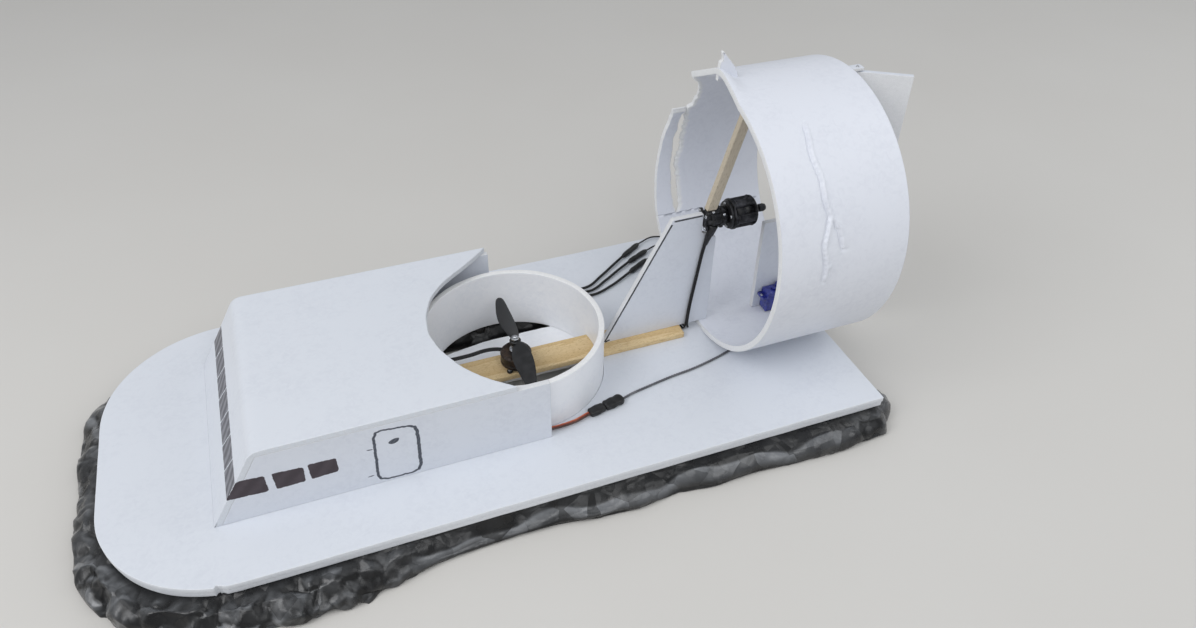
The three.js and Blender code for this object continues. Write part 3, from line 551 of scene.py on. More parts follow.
def crisp(points, soft, closed=False):
    """Line or outline with its corners rounded: each becomes five points, two at soft and two further off before
    and after it, and the middle of the round between them."""
    p = np.asarray(points, float)
    before, after = np.roll(p, 1, axis=0) - p, np.roll(p, -1, axis=0) - p
    reach_before, reach_after = (np.linalg.norm(v, axis=1, keepdims=True) for v in (before, after))
    before, after = before / reach_before, after / reach_after
    near_b, near_a = np.minimum(soft, 0.3 * reach_before), np.minimum(soft, 0.3 * reach_after)
    far_b, far_a = np.minimum(2.4 * soft, 0.42 * reach_before), np.minimum(2.4 * soft, 0.42 * reach_after)
    middle = p + 0.29 * (near_b * before + near_a * after)
    five = np.stack([p + far_b * before, p + near_b * before, middle, p + near_a * after, p + far_a * after], axis=1)
    if closed:
        return five.reshape(-1, p.shape[1])
    return np.vstack([p[:1], five[1:-1].reshape(-1, p.shape[1]), p[-1:]])


def cover_outline(rear):
    """Closed x-z outline of the folded sheet, for a rear edge at x = rear: roof, rounded fold, slope, foot, back."""
    fold = np.linspace(0, 1, 9)[:, None]
    start, corner, stop = (np.array(p) for p in ((FRONT_TOP - 8, ROOF), (FRONT_TOP, ROOF), (slope(0, 61), 61.0)))
    bend = (1 - fold) ** 2 * start + 2 * fold * (1 - fold) * corner + fold ** 2 * stop
    top = np.linspace([rear + 1.2, ROOF], [FRONT_TOP - 9, ROOF], 40)
    front = np.linspace([slope(0, 60), 60.0], [slope(0, 1.0), 1.0], 14)
    back_front = np.linspace([slope(BOARD, 0.5), 0.5], [slope(BOARD, ROOF_UNDER - 0.4), ROOF_UNDER - 0.4], 10)
    under = np.linspace([slope(BOARD, ROOF_UNDER) - 0.6, ROOF_UNDER], [rear + 1.2, ROOF_UNDER], 30)
    foot = [(slope(0, 0.4), 0.4), (slope(0, 0.05) - 0.4, 0.05), (slope(BOARD, 0.05) + 0.4, 0.05)]
    rear_edge = [(rear + 0.4, ROOF_UNDER), (rear, ROOF_UNDER + 0.4), (rear, ROOF_UNDER + 1.2), (rear, ROOF - 1.2),
                 (rear, ROOF - 0.4), (rear + 0.4, ROOF)]
    return np.vstack([top, bend, front, foot, back_front, under, rear_edge])


inset, offset, _ = rim(0.4, 0.0, 1.0)
stations = np.concatenate([WALL_STARBOARD + offset[:5], np.linspace(WALL_STARBOARD + 1.5, WALL_PORT - 1.5, 150),
                           WALL_PORT - offset[4::-1]])
drawn_in = np.concatenate([inset[:5], np.zeros(150), inset[5:]])
cut_line = curve_through(ROOF_CUT, 12)
rears = np.interp(stations, cut_line[:, 0], cut_line[:, 1])
rears = rears + 0.18 * np.sin(stations / 3.7) + 0.1 * np.sin(stations * 0.9)
outlines = np.stack([cover_outline(rear) for rear in rears])
outlines = np.stack([line + off * inward(line) for line, off in zip(outlines, drawn_in)])
ripple = 0.22 * np.sin(outlines[..., 0] / 61 + 0.8) * np.sin(stations[:, None] / 47 + 0.5)
on_roof = (outlines[..., 1] > ROOF_UNDER - 1) & (outlines[..., 0] < FRONT_TOP - 12)
outlines[..., 1] += np.where(on_roof, ripple * np.clip((FRONT_TOP - 12 - outlines[..., 0]) / 40, 0, 1)
                             * np.clip((95 - np.abs(stations[:, None])) / 20, 0, 1), 0)
edge = (drawn_in > 0)[:, None] | (outlines[..., 0] < rears[:, None] + 0.9) | (outlines[..., 1] < 0.45)
grid = laid(outlines[..., 0], outlines[..., 1], stations[:, None], "xz")
cover_board = foam_board("cover_board", (218, 222, 229), (211, 215, 223), (222, 226, 232), 0.0003)
solid("cabin_cover", [grid], cover_board, "foam_board", "cabin_cover", bare_core_and_painted_light=edge)

# Side walls of the cabin: foam board, standing on the deck under the folded sheet and glued along its edges.
GLUE = 0.04
wall_board = foam_board("white_wall_board", (217, 221, 229), (208, 212, 221), (226, 227, 229), 0.0004)
wall_foot, wall_head = (slope(BOARD + 0.05, GLUE), GLUE), (slope(BOARD + 0.05, ROOF_UNDER - GLUE), ROOF_UNDER - GLUE)
wall = walked([(CABIN_REAR, GLUE), wall_foot, wall_head, (CABIN_REAR, ROOF_UNDER - GLUE)], 1.0)
for name, low, high in (("cabin_side_port", WALL_PORT - BOARD, WALL_PORT - 0.05),
                        ("cabin_side_starboard", WALL_STARBOARD + 0.05, WALL_STARBOARD + BOARD)):
    fit(board(name, wall, low, high, "xz", soft=0.3), wall_board, "foam_board", name)


# Windows and door: drawn on the port wall and across the sloped front with broad felt pens, filled in by hand with
# slanting strokes, so that edges waver and strokes show.
@effect(Across=900.0)
def ink_strokes(n, at, across):
    """Pen strokes side by side, drawn by hand, and ink that has soaked in unevenly."""
    strokes = n.add("TexWave", {"Vector": n.bent(at, 60.0, 0.004), "Scale": across, "Distortion": 1.5, "Detail": 2.0},
                    bands_direction="DIAGONAL")["Fac"]
    return {"Stroke": n.math(n.math(strokes, 0.5), n.math(n.noise(at, 260.0, 3.0), 0.5), "ADD")}


def felt_pen(name, full, thin, strokes):
    """Ink of a felt pen: the full colour, thinner between the pen's strokes."""
    def build(n, where):
        stroke = n.group(ink_strokes, where, Across=strokes)["Stroke"]
        return {"Base Color": n.colour(n.span(stroke, 0.3, 0.75), full, thin)}
    return material(name, build, Roughness=0.5, Specular_IOR_Level=0.35)


INK = 0.05


def inked(name, outline, pen, face=WALL_PORT, plane="xz", openings=()):
    """A patch of ink on a face of foam board."""
    fit(board(name, outline, face - 0.05, face + INK, plane, soft=0.02, openings=openings), pen, "foam_board")


brown_ink = felt_pen("brown_ink", (62, 53, 58), (72, 63, 68), 40.0)
grey_ink = felt_pen("grey_ink", (92, 92, 98), (138, 138, 144), 60.0)
slate_ink = felt_pen("slate_ink", (66, 70, 80), (92, 96, 105), 200.0)
WINDOWS = {
    "window_front": [(221.3, 25.3), (210.4, 42.1), (191.1, 40.9), (191.1, 23.9)],
    "window_middle": [(186, 41), (163.5, 39.8), (164.2, 24.2), (185.4, 23.8)],
    "window_rear": [(160.4, 40.8), (139.3, 40.3), (139.5, 25.7), (159.7, 24.7)]}
for seed, (name, corners) in enumerate(WINDOWS.items()):
    inked(name, walked(crisp(corners, 1.6, closed=True), 0.7, waver=0.09, seed=seed), brown_ink)

DOOR = [(109.8, 57.8), (76.3, 54.2), (78.4, 2.2), (112.4, 2.9)]
line = walked(crisp(DOOR, 7.0, closed=True), 0.8, waver=0.1, seed=8)
line = line + 0.25 * inward(np.roll(line, 3, axis=0))
upright_part = np.abs(inward(line)[:, :1])
half_width = 0.68 + upright_part * np.where(line[:, :1] < 94, 0.65, 0.4)
inked("door_line", line - half_width * inward(line), slate_ink, openings=[line + half_width * inward(line)])
MARKS = {
    # door knob and the two short hinge strokes: middle x, z, half length, half height, tilt in degrees
    "door_knob": (95.4, 42.5, 4.3, 2.4, -18), "hinge_stroke_upper": (114.3, 39.5, 2.3, 0.45, 5),
    "hinge_stroke_lower": (117.3, 10.6, 2.5, 0.45, -4)}
for name, (x, z, half, height, tilt) in MARKS.items():
    a = turns(26)
    blob = np.stack([half * np.cos(a) * (1 + 0.08 * np.sin(3 * a)), height * np.sin(a)], axis=1)
    inked(name, blob @ spin(tilt) + (x, z), slate_ink)

run = np.array([FRONT_FOOT - FRONT_TOP, 0, -ROOF]) / np.hypot(FRONT_FOOT - FRONT_TOP, ROOF)
front_face = np.array([[0, 1, 0], -run, [-run[2], 0, run[0]], [FRONT_FOOT, 0, 0]])
PANES, PANE_LOW, PANE_HIGH, LEAN, PANE_GAP = 7, 29.4, 48.0, 4.6, 0.55
ends = np.linspace(WALL_STARBOARD + 0.7, WALL_PORT - 0.35, PANES + 1)
for k in range(PANES):
    left, lean = ends[k] + PANE_GAP, (LEAN / 2 if k else 0)
    right, last_lean = (ends[k + 1] - PANE_GAP, LEAN / 2) if k < PANES - 1 else (ends[k + 1] - 0.05, 0)
    corners = [(left - lean, PANE_LOW), (right - last_lean, PANE_LOW + 0.3), (right + last_lean, PANE_HIGH - 0.2),
               (left + lean, PANE_HIGH)]
    pane = walked(crisp(corners, 0.8, closed=True), 0.8, waver=0.06, seed=40 + k)
    inked(f"front_pane_{k + 1}", pane, grey_ink, 0.0, front_face)


# Battery: a soft pack in shrink wrap, lying on the deck inside the cabin, with the folded ends of its wrap.
@effect(Grain=0.00002)
def moulded(n, at, grain):
    """A moulding's fine grain, and cloudy patches where hands have rubbed it."""
    handled = n.noise(at, 110.0, 5.0, Roughness=0.65)
    return {"Rubbed": n.span(handled, 0.42, 0.72), "Height": n.math(n.noise(at, 1900.0, 1.0), grain)}


def grained(name, colour, worn, rough, grain=0.00002, gloss=0.18, inside=None, **plain):
    """Moulded or wrapped plastic: its colour with paler rubbed patches, a fine grain and roughness from rough to
    rough + gloss. inside, where given, is a second colour that clouds the first."""
    def build(n, where):
        surface = n.group(moulded, where, Grain=grain)
        body = n.colour(n.noise(where, 120.0, 1.0), colour, inside) if inside else colour
        return {"Base Color": n.colour(surface["Rubbed"], body, worn),
                "Roughness": n.span(surface["Rubbed"], 0.0, 1.0, rough, rough + gloss), "Height": surface["Height"]}
    return material(name, build, **plain)


BATTERY_X, BATTERY_HALF, BATTERY_Z, BATTERY_SOFT = (96.0, 200.0), 17.0, (0.1, 25.0), 1.5
(x0, x1), half, (z0, z1) = BATTERY_X, BATTERY_HALF, BATTERY_Z
SMOOTH_HALF = 38  # the wrap wrinkles beyond this distance from its middle
bulge = np.linspace(0, np.pi / 2, 6)
on, off = BATTERY_SOFT * (1 - np.cos(bulge)), BATTERY_SOFT * (1 - np.sin(bulge))
lengths = np.concatenate([x0 + on, np.linspace(x0 + 4, x1 - 4, 60), x1 - on[::-1]])
pull = np.concatenate([off, np.zeros(60), off[::-1]])
section = walked(crisp([(-half, z0), (half, z0), (half, z1), (-half, z1)], 2.2, closed=True), 1.2)
band = 0.12 * np.sin(lengths / 2.6) * (np.abs(lengths - (x0 + x1) / 2) > SMOOTH_HALF)
loops = section[None] + (pull + np.maximum(band, -0.05))[:, None, None] * inward(section)[None]
pack = laid(loops[..., 0], loops[..., 1], lengths[:, None], "yz")
wrap = grained("battery_wrap", (44, 48, 56), (70, 75, 84), 0.34, Coat_Weight=0.15)
solid("battery_pack", [pack], wrap, "battery_pack", "battery")


# Lift tube: a strip of foam sheet rolled into a ring and glued into the deck's opening, notched at the foot for the
# batten. The butt joint of the strip shows as a fine line.
TUBE_OUT, TUBE_IN, TUBE_TOP, TUBE_SOFT = 81.0, 76.0, 50.0, 0.45
BATTEN_HALF, BATTEN_TOP = 15.0, 5.3
SEAM_AT, SEAM_DEEP, SEAM_WIDE = np.radians(52.0), 0.35, 0.5
angle = turns(420)
notch = np.abs((TUBE_OUT + TUBE_IN) / 2 * np.sin(angle)) < BATTEN_HALF + 0.35
foot = np.where(notch, BATTEN_TOP + 0.25, DECK_UNDER + 0.02)[:, None]
seam = (-SEAM_DEEP * np.exp(-((angle - SEAM_AT) * 78 / SEAM_WIDE) ** 2))[:, None]
levels = np.concatenate([[0, 0.02], np.linspace(0.06, 0.94, 30), [0.98, 1]])
side = foot + TUBE_SOFT + (TUBE_TOP - 2 * TUBE_SOFT - foot) * levels
soft, rise = TUBE_SOFT * (1 - np.cos(QUARTER))[1:], TUBE_SOFT * np.sin(QUARTER)[1:]
over, over_rise = np.concatenate([TUBE_OUT - soft, (TUBE_IN + soft)[::-1]]), np.concatenate([rise, rise[::-1]])
wall_out, rim_top, wall_in, rim_foot = (np.stack(np.broadcast_arrays(r, z), axis=-1) for r, z in (
    (TUBE_OUT + seam, side), (over, TUBE_TOP - TUBE_SOFT + over_rise + 0 * foot),
    (TUBE_IN - seam * 0.6, side[:, ::-1]), (over[::-1], foot + TUBE_SOFT - over_rise)))
loop = np.concatenate([wall_out, rim_top, wall_in, rim_foot], axis=1)
crown = 0.15 * np.sin(3 * angle + 1) + 0.12 * np.sin(11 * angle)
radius, height = loop[..., 0], loop[..., 1] + crown[:, None] * np.clip((loop[..., 1] - 30) / 20, 0, 1)
ring = np.stack([LIFT_X + radius * np.cos(angle)[:, None], radius * np.sin(angle)[:, None], height], axis=-1)
n = len(levels)
bare = np.zeros(loop.shape[:2])
bare[:, n:n + 6] = bare[:, 2 * n + 6:] = 1
# The tube's foam is painted lighter than the other boards, against the shade inside the tube.
tube_board_painted_lighter = foam_board("tube_foam_painted_lighter", (241, 243, 247), (232, 235, 241), (242, 242, 242), 0.0005)
fit(skin("lift_tube", ring, along=True, bare_core_and_painted_light=bare), tube_board_painted_lighter, "foam_board", "lift_duct")


# Strip under the opening: foam board glued beneath the deck on the tube's starboard half. Air passes on both sides.
under = crisp([(-118, -55.3), (-14, -55.3), (62, -42.6), (62, 2), (-118, 2)], 0.6, closed=True)
# The strip wears the tube's foam, painted lighter than the deck against the shade under it.
fit(board("opening_strip", walked(under, 1.5, waver=0.1, seed=19), DECK_UNDER - 5.25, DECK_UNDER - 0.15, soft=0.4),
    tube_board_painted_lighter, "foam_board", "opening_strip")


# Centre batten: a planed strip of light softwood lying along the deck through the lift tube's notches. It carries
# the lift motor and the pylon, and its long edges are slightly broken by sanding.
@effect(Depth=0.00003)
def wood_grain(n, at, depth):
    """Growth rings across the wood, fibres and small pores."""
    rings = n.add("TexWave", {"Vector": n.bent(at, 9.0, 0.35), "Scale": 1.0, "Distortion": 3.5, "Detail": 3.0,
                              "Detail Scale": 1.4}, bands_direction="Y", wave_profile="SAW")["Fac"]
    fibres = n.noise(at, 42.0, 4.0, Roughness=0.6)
    return {"Figure": n.math(n.math(rings, 0.55), n.math(fibres, 0.45), "ADD"),
            "Fleck": n.span(n.noise(at, 160.0, 2.0), 0.56, 0.72), "Height": n.math(fibres, depth)}


def wood(name, light, dark, fleck, stretch, tilt=(0, 0, 0)):
    """Planed softwood: growth rings and fibres drawn out along the grain, small dark flecks, matt."""
    def build(n, where):
        drawn_out = n.add("Mapping", {"Vector": where, "Rotation": tilt, "Scale": stretch}, vector_type="TEXTURE")
        grain = n.group(wood_grain, drawn_out["Vector"])
        return {"Base Color": n.colour(grain["Fleck"], n.colour(grain["Figure"], light, dark), fleck),
                "Roughness": n.span(grain["Figure"], 0.0, 1.0, 0.55, 0.75), "Height": grain["Height"]}
    return material(name, build, Specular_IOR_Level=0.3)


BATTEN = (-189.0, 70.0)
strip = crisp([(x, y * BATTEN_HALF) for x, y in zip((*BATTEN, *BATTEN[::-1]), (-1, -1, 1, 1))], 0.9, closed=True)
batten_wood = wood("batten_wood", (228, 205, 162), (204, 174, 124), (168, 132, 84), (0.5, 0.06, 0.06))
fit(board("centre_batten", walked(strip, 0.8, waver=0.02, seed=4), 0.06, BATTEN_TOP, soft=0.5), batten_wood,
    "batten_wood", "centre_batten")


# Lift motor: a small outrunner. Its cross mount is screwed to the batten and stays still, while the can with its
# magnets, the shaft and the propeller turns on it.
FAN_AXIS = np.array([-28.0, 1.5])


def turned(profile, centre, axis="z", sides=64, flute=None):
    """Rows of a piece turned about an axis: each (radius, place) of the profile swept round. flute, where given,
    is a function of the angle and the place that is added to the radius."""
    p = np.asarray(profile, float)
    a = turns(sides)
    radius = p[:, :1] + (flute(a[None], p[:, 1:]) if flute else 0 * a)
    u, v, place = np.broadcast_arrays(centre[0] + radius * np.cos(a), centre[1] + radius * np.sin(a), p[:, 1:])
    return np.stack([u, v, place] if axis == "z" else [place, u, v], axis=-1)


def rod(a, b, radius, sides=20):
    """Short round bar from point a to point b with its ends slightly broken."""
    a, b = np.asarray(a, float), np.asarray(b, float)
    length = np.linalg.norm(b - a)
    ahead = (b - a) / length
    aside = np.cross(ahead, [0.3, 0.9, 0.31] if abs(ahead[2]) > 0.8 else [0, 0, 1])
    aside /= np.linalg.norm(aside)
    chamfer = min(0.25 * radius, 0.2 * length)
    at = np.array([0, chamfer, length - chamfer, length])
    size = radius - np.array([chamfer, 0, 0, chamfer])
    ring = arc(1.0, count=sides) @ np.stack([aside, np.cross(aside, ahead)])
    return a + at[:, None, None] * ahead + size[:, None, None] * ring[None]


def studs(degrees, distance, centre, low, high, radius, axis="z", sides=20):
    """Short bars, such as screw heads, round an axis: one for each angle, at a distance from the centre."""
    ring = distance * np.stack([spin(d)[0] for d in degrees]) + centre
    ends = [[(*p, h) if axis == "z" else (h, *p) for h in (low, high)] for p in ring]
    return [rod(a, b, radius, sides) for a, b in ends]


def magnets(count, depth, low, high, narrow=0.35, turn=0.0):
    """Flutes between magnets: radius drops by depth * s where s is a soft-edged slot, count times round, and only
    between the two places. A greater narrow makes narrower slots, and turn turns them about the axis."""
    def drop(angle, place):
        slot = np.clip((np.cos(count * (angle - turn)) - narrow) * 5, 0, 1)
        return -depth * slot * np.clip((place - low) * 2, 0, 1) * np.clip((high - place) * 2, 0, 1)
    return drop


def can(name, profile, soft, centre, axis, flute):
    """A motor's can: its profile with rounded corners, in steps short enough for the flutes, turned."""
    rows = crisp(profile, soft)
    fine = [np.linspace(a, b, 4, endpoint=False) for a, b in zip(rows[:-1], rows[1:])]
    return skin(name, turned(np.vstack([*fine, rows[-1:]]), centre, axis, sides=168, flute=flute), caps="each")


black_plastic = grained("black_plastic", (19, 19, 21), (44, 44, 46), 0.42)
can_black = grained("motor_can_black", (12, 12, 14), (78, 78, 82), 0.3, grain=0.000008, Metallic=0.35)
silver = grained("bright_steel", (196, 198, 202), (160, 162, 166), 0.22, grain=0.000004, Metallic=1.0)
can_warm = grained("motor_can_brown", (20, 17, 17), (74, 56, 42), 0.36, grain=0.00001, Metallic=0.2)

base = turned(crisp([(2.0, 5.36), (10.5, 5.36), (10.5, 7.6), (7, 8.75), (2.0, 8.75)], 0.3), FAN_AXIS)
tip = arc(2.6, -np.pi / 2, np.pi / 2, 9, (12.4, 0))
arms = [edge_band(walked(np.vstack([tip, -tip]), 0.7) @ spin(degrees) + FAN_AXIS, 5.34, 7.15, soft=0.2)[0]
        for degrees in (45, 135)]
solid("lift_motor_base", [base, *arms], black_plastic, "black_plastic", "lift_motor_base")
solid("lift_mount_screws", studs((45, 135, 225, 315), 12.2, FAN_AXIS, 7.0, 8.0, 1.7), silver, "steel")
LIFT_CAN = [(13.4, 9.1), (14, 9.8), (14, 12.0), (13.6, 12.3), (13.6, 18.4), (14, 18.7), (14, 19.6), (12.6, 21.4),
            (5.4, 22.2), (2.6, 22.2)]
fit(can("lift_motor_can", LIFT_CAN, 0.2, FAN_AXIS, "z", magnets(12, 1.3, 19.9, 21.9)), can_warm, "motor_can",
    "lift_motor_can", body="lift_rotor")
nut = turned(crisp([(3.1, 33.95), (3.6, 34.3), (3.6, 36.0), (3.0, 36.4)], 0.1), FAN_AXIS, sides=96,
             flute=lambda a, z: -0.42 * (1 - np.abs(np.cos(3 * a))))
stem = turned(crisp([(5.5, 22.35), (5.5, 23.6), (3.7, 24.6), (3.7, 29.4), (2.15, 29.4), (2.15, 37.2), (1.3, 38.2)],
                    0.15), FAN_AXIS, sides=48)
solid("lift_shaft_and_nut", [stem, nut], silver, "steel", "lift_shaft", body="lift_rotor")


# Lift propeller: moulded in black plastic, with two blades that are broad at the root, twisted, thin towards blunt
# tips and finely scratched.
BLADE = np.array([
    # radius, leading edge, trailing edge, pitch in degrees, thickness
    [3.2, 4.0, -4.0, 36, 2.8], [8, 6.4, -6.6, 35, 2.3], [14, 8.2, -8.2, 32, 1.8], [24, 9.3, -8.8, 27, 1.45],
    [38, 8.1, -7.7, 21, 1.15], [50, 5.7, -6.4, 16.5, 1.0], [58, 3.9, -5.5, 14, 0.85], [62.5, 2.2, -4.6, 12.5, 0.7],
    [64.7, 0.3, -3.4, 12, 0.45]])


def propeller(level, heading, curve):
    """Two blades and a hub. A blade's section at each radius is a thin aerofoil, half thickness
    t * 1.3 (sqrt(c) - c) along the chord c, arched by 5% of the chord, turned to the pitch there and swept back
    by curve times the radius squared."""
    rows = curve_through(BLADE, 8)
    c = (1 - np.cos(np.linspace(0, np.pi, 13))) / 2
    half = 1.3 * (np.sqrt(c) - c)
    chord = np.concatenate([c, c[-2:0:-1]])
    lift = np.concatenate([half, -0.6 * half[-2:0:-1]])
    width = (rows[:, 1] - rows[:, 2])[:, None]
    along = rows[:, 1:2] - chord * width
    thick = lift * rows[:, 4:5] + 0.05 * 4 * chord * (1 - chord) * width
    p = np.radians(rows[:, 3:4])
    swept = along * np.cos(p) - thick * np.sin(p) - curve * (rows[:, :1] / 65) ** 2
    height = level + (along * np.sin(p) + thick * np.cos(p))
    out = np.broadcast_to(rows[:, :1], swept.shape)
    blades = [np.stack([out, swept], axis=-1) @ spin(turn) + FAN_AXIS for turn in (heading, heading + 180)]
    hub = turned(crisp([(2.5, -2.1), (4.9, -2.1), (5.1, 1.5), (4.3, 2.1), (2.5, 2.1)], 0.25) + (0, level), FAN_AXIS)
    return [*(np.concatenate([blade, height[..., None]], axis=-1) for blade in blades), hub]


jet = grained("jet_black", (16, 16, 17), (38, 38, 40), 0.26)
worn_black = grained("propeller_worn", (20, 20, 22), (44, 44, 46), 0.42)
solid("lift_propeller", propeller(31.8, -91, 1.5), worn_black, "propeller", "lift_propeller", body="lift_rotor")


# Thrust duct: foam sheet rolled into a wide ring and glued down on the stern. A blade strike has torn its front edge
# from the top down the starboard side and slit it, which leaves a loose strip. The port side has cracked creases.
DUCT_OUT, DUCT_IN, DUCT_AXIS = 122.72, 117.5, 122.8
DUCT_FRONT, DUCT_AFT = -209.0, -325.0
TEAR = np.array([
    # angle from port over the top to starboard, place of the torn edge
    [116.5, -209], [120, -215], [126.8, -222.5], [132, -229], [138, -236], [143, -239.5], [149, -241.5],
    [154.8, -240.7], [156.2, -236.6], [158.4, -236.4], [160, -237], [165.6, -238.1], [170, -237.8], [174, -237.3],
    [178.5, -237.1], [182.6, -236], [188, -232.9], [192, -234.2], [198, -234.6],
    [206, -234.4], [210, -232.2], [211.5, -229.2]])
STRIP = np.array([
    # angle, front edge and aft edge of the loose strip
    [156.4, -222.0, -235.4], [158.2, -222.1, -235.6], [160, -222.4, -232], [165, -221.5, -231], [169.4, -219.2, -230.6],
    [173.6, -217.2, -229], [178, -216.3, -228.7], [182, -215, -228.5], [187.7, -213.3, -227.2], [193.7, -211.9, -227.9],
    [201, -210.2, -227.3], [207, -209.2, -227.8], [211.6, -209, -228.8]])
CREASE = [np.array([(-253.5, 62), (-251.5, 56), (-249.5, 50.6), (-250.3, 45.5), (-251.6, 41.2), (-251.6, 32.3),
                    (-254.4, 27.6), (-261.8, 21.2), (-264.6, 15.1)], float),
          np.array([(-254.4, 27.6), (-250.5, 21.5), (-247.8, 16.7), (-249.5, 12), (-250.4, 7.9), (-250, 3)], float)]
BLOB = (-252.3, 8.3)


def creased(x, degrees):
    """Change of the duct's radius at a distance d from the nearest crease line: a buckled ridge 1.1 exp(-(d / 1.5)^2)
    high, a valley 1.5 exp(-((d - 2.7) / 1.2)^2) deep on its bow side, and a round blob of glue 0.9 high. Distances
    are along the surface in millimetres."""
    degrees = np.broadcast_to(degrees, x.shape)
    q = np.stack([x, np.radians(degrees) * DUCT_OUT], axis=-1)
    nearest, bow_side = np.full(x.shape, 1e3), np.ones(x.shape)
    for line in CREASE:
        fine = curve_through(line * (1, np.radians(1) * DUCT_OUT), 6)
        fine[1:-1, 0] += 0.4 * np.sin(np.arange(len(fine) - 2) * 2.3)
        for start, stop in zip(fine[:-1], fine[1:]):
            span = stop - start
            off = q - start
            f = np.clip((off @ span) / (span @ span), 0, 1)
            away = np.linalg.norm(off - f[..., None] * span, axis=-1)
            side = np.sign(span[0] * off[..., 1] - span[1] * off[..., 0])
            bow_side = np.where(away < nearest, side, bow_side)
            nearest = np.minimum(nearest, away)
    fade = np.clip((np.minimum(degrees + 1, 66 - degrees)) / 6, 0, 1)
    ridge = 1.1 * np.exp(-(nearest / 1.5) ** 2)
    valley = 1.5 * np.exp(-((nearest - 2.7) / 1.2) ** 2) * (bow_side > 0)
    blob = np.hypot(x - BLOB[0], (degrees - BLOB[1]) * np.radians(1) * DUCT_OUT)
    return (ridge - valley) * fade + 0.9 * np.exp(-(blob / 1.9) ** 4)


def duct_loops(degrees, front, aft, outer, inner, bulge=None):
    """Closed sections of the duct's wall, one for each angle: outer face from front to aft, rounded aft edge, inner
    face back and rounded front edge. outer and inner are the shares of the length where points lie."""
    soft = 0.4
    inset, setback = soft * (1 - np.cos(QUARTER)), soft * (1 - np.sin(QUARTER))
    front, aft = front[:, None], aft[:, None]
    x_out, x_in = (front - soft + (aft + 2 * soft - front) * share for share in (outer, inner[::-1]))
    x = np.concatenate([x_out, aft + setback[1:], aft + setback[:0:-1], x_in, front - setback[1:],
                        front - setback[:0:-1]], axis=1)
    r_out = DUCT_OUT + (bulge(x_out, degrees[:, None]) if bulge else 0 * x_out)
    r_in = DUCT_IN + (0.5 * bulge(x_in, degrees[:, None]) if bulge else 0 * x_in)
    edge = np.broadcast_to(np.concatenate([DUCT_OUT - inset[1:], DUCT_IN + inset[:0:-1]]), (len(degrees), 6))
    r = np.concatenate([r_out, edge, r_in, edge[:, ::-1]], axis=1)
    bare = np.concatenate([0 * x_out, edge > 0, 0 * x_in, edge > 0], axis=1)
    return x, r, bare


def flared(x, degrees):
    """The strike has bent the front edge's top outwards: 10 mm at 93 degrees, easing to nothing at 76 degrees and to
    1.5 at the tear, and dying out aft as exp(-((x - front) / 11)^2)."""
    lip = np.interp(degrees, [76, 80, 85, 90, 93, 96, 100, 105, 110, 117, 122],
                    [0, 2.2, 5.6, 9.4, 10.2, 9.6, 6.4, 3.8, 2.2, 1.5, 0])
    return lip * np.exp(-((x - DUCT_FRONT) / 11) ** 2)


def out_of_round(degrees):
    """A rolled ring is never quite round: 0.5 sin(2a + 0.6) + 0.25 sin(5a), fading to nothing at the foot."""
    a = np.radians(degrees)
    return (0.5 * np.sin(2 * a + 0.6) + 0.25 * np.sin(5 * a)) * np.clip(1 + np.sin(a), 0, 1)


def around(x, r, degrees):
    """Points of the duct from x, radius and angle."""
    a = np.radians(degrees)[:, None]
    return np.stack([x, r * np.cos(a), DUCT_AXIS + r * np.sin(a)], axis=-1)


STRIP_FOOT, SLIT_END, TORN_FROM, RAGGED = 211.6, 157.3, 474, 2.2  # angles, from TORN_FROM on one turn further
dice = np.random.default_rng(5)


def uneven(at, start, step, size):
    """A torn edge's steps: heights drawn by lot at every step from start on, and straight lines between."""
    knots = np.arange(start, 214, step)
    return np.interp(at, knots, dice.normal(0, size, len(knots)))


angles = np.concatenate([np.arange(STRIP_FOOT, 354, 1.2), np.arange(354, 426, 0.5), np.arange(426, TORN_FROM, 0.8),
                         np.arange(TORN_FROM, 360 + STRIP_FOOT, 0.4)])
local = angles % 360
jag = uneven(local, 110, 1.3, 0.8) + uneven(local, 110, 0.45, 0.3)
jag = jag * np.clip(np.abs(local - SLIT_END) / 3 - 0.4, 0, 1) * np.clip((211 - local) / 3, 0, 1)
front = np.where(angles > 360 + TEAR[0, 0], np.interp(local, TEAR[:, 0], TEAR[:, 1]) + jag, DUCT_FRONT)
outer = np.concatenate([[0, 0.004], np.linspace(0.012, 0.27, 14), np.linspace(0.28, 0.47, 44),
                        np.linspace(0.5, 0.985, 14), [0.996, 1]])
inner = np.concatenate([[0, 0.004], np.linspace(0.012, 0.988, 34), [0.996, 1]])
x, r, bare = duct_loops(np.where(angles < TORN_FROM, angles - 360, angles), front, np.full(len(angles), DUCT_AFT),
                        outer, inner, creased)
ragged = (angles > TORN_FROM + 2)[:, None] & (x > front[:, None] - RAGGED)
pinch = np.where(ragged, np.clip((x - front[:, None]) / RAGGED + 1, 0, 1), 0)
middle = (DUCT_OUT + DUCT_IN) / 2
r = middle + (r - middle) * (1 - 0.3 * pinch) + out_of_round(angles)[:, None] + flared(x, local[:, None])
duct_board = foam_board("white_duct_foam", (224, 227, 235), (215, 218, 227), (238, 239, 240), 0.0009)
fit(skin("thrust_duct", around(x, r, angles), along=True, bare_core_and_painted_light=np.maximum(bare, ragged)), duct_board, "foam_duct",
    "thrust_duct")

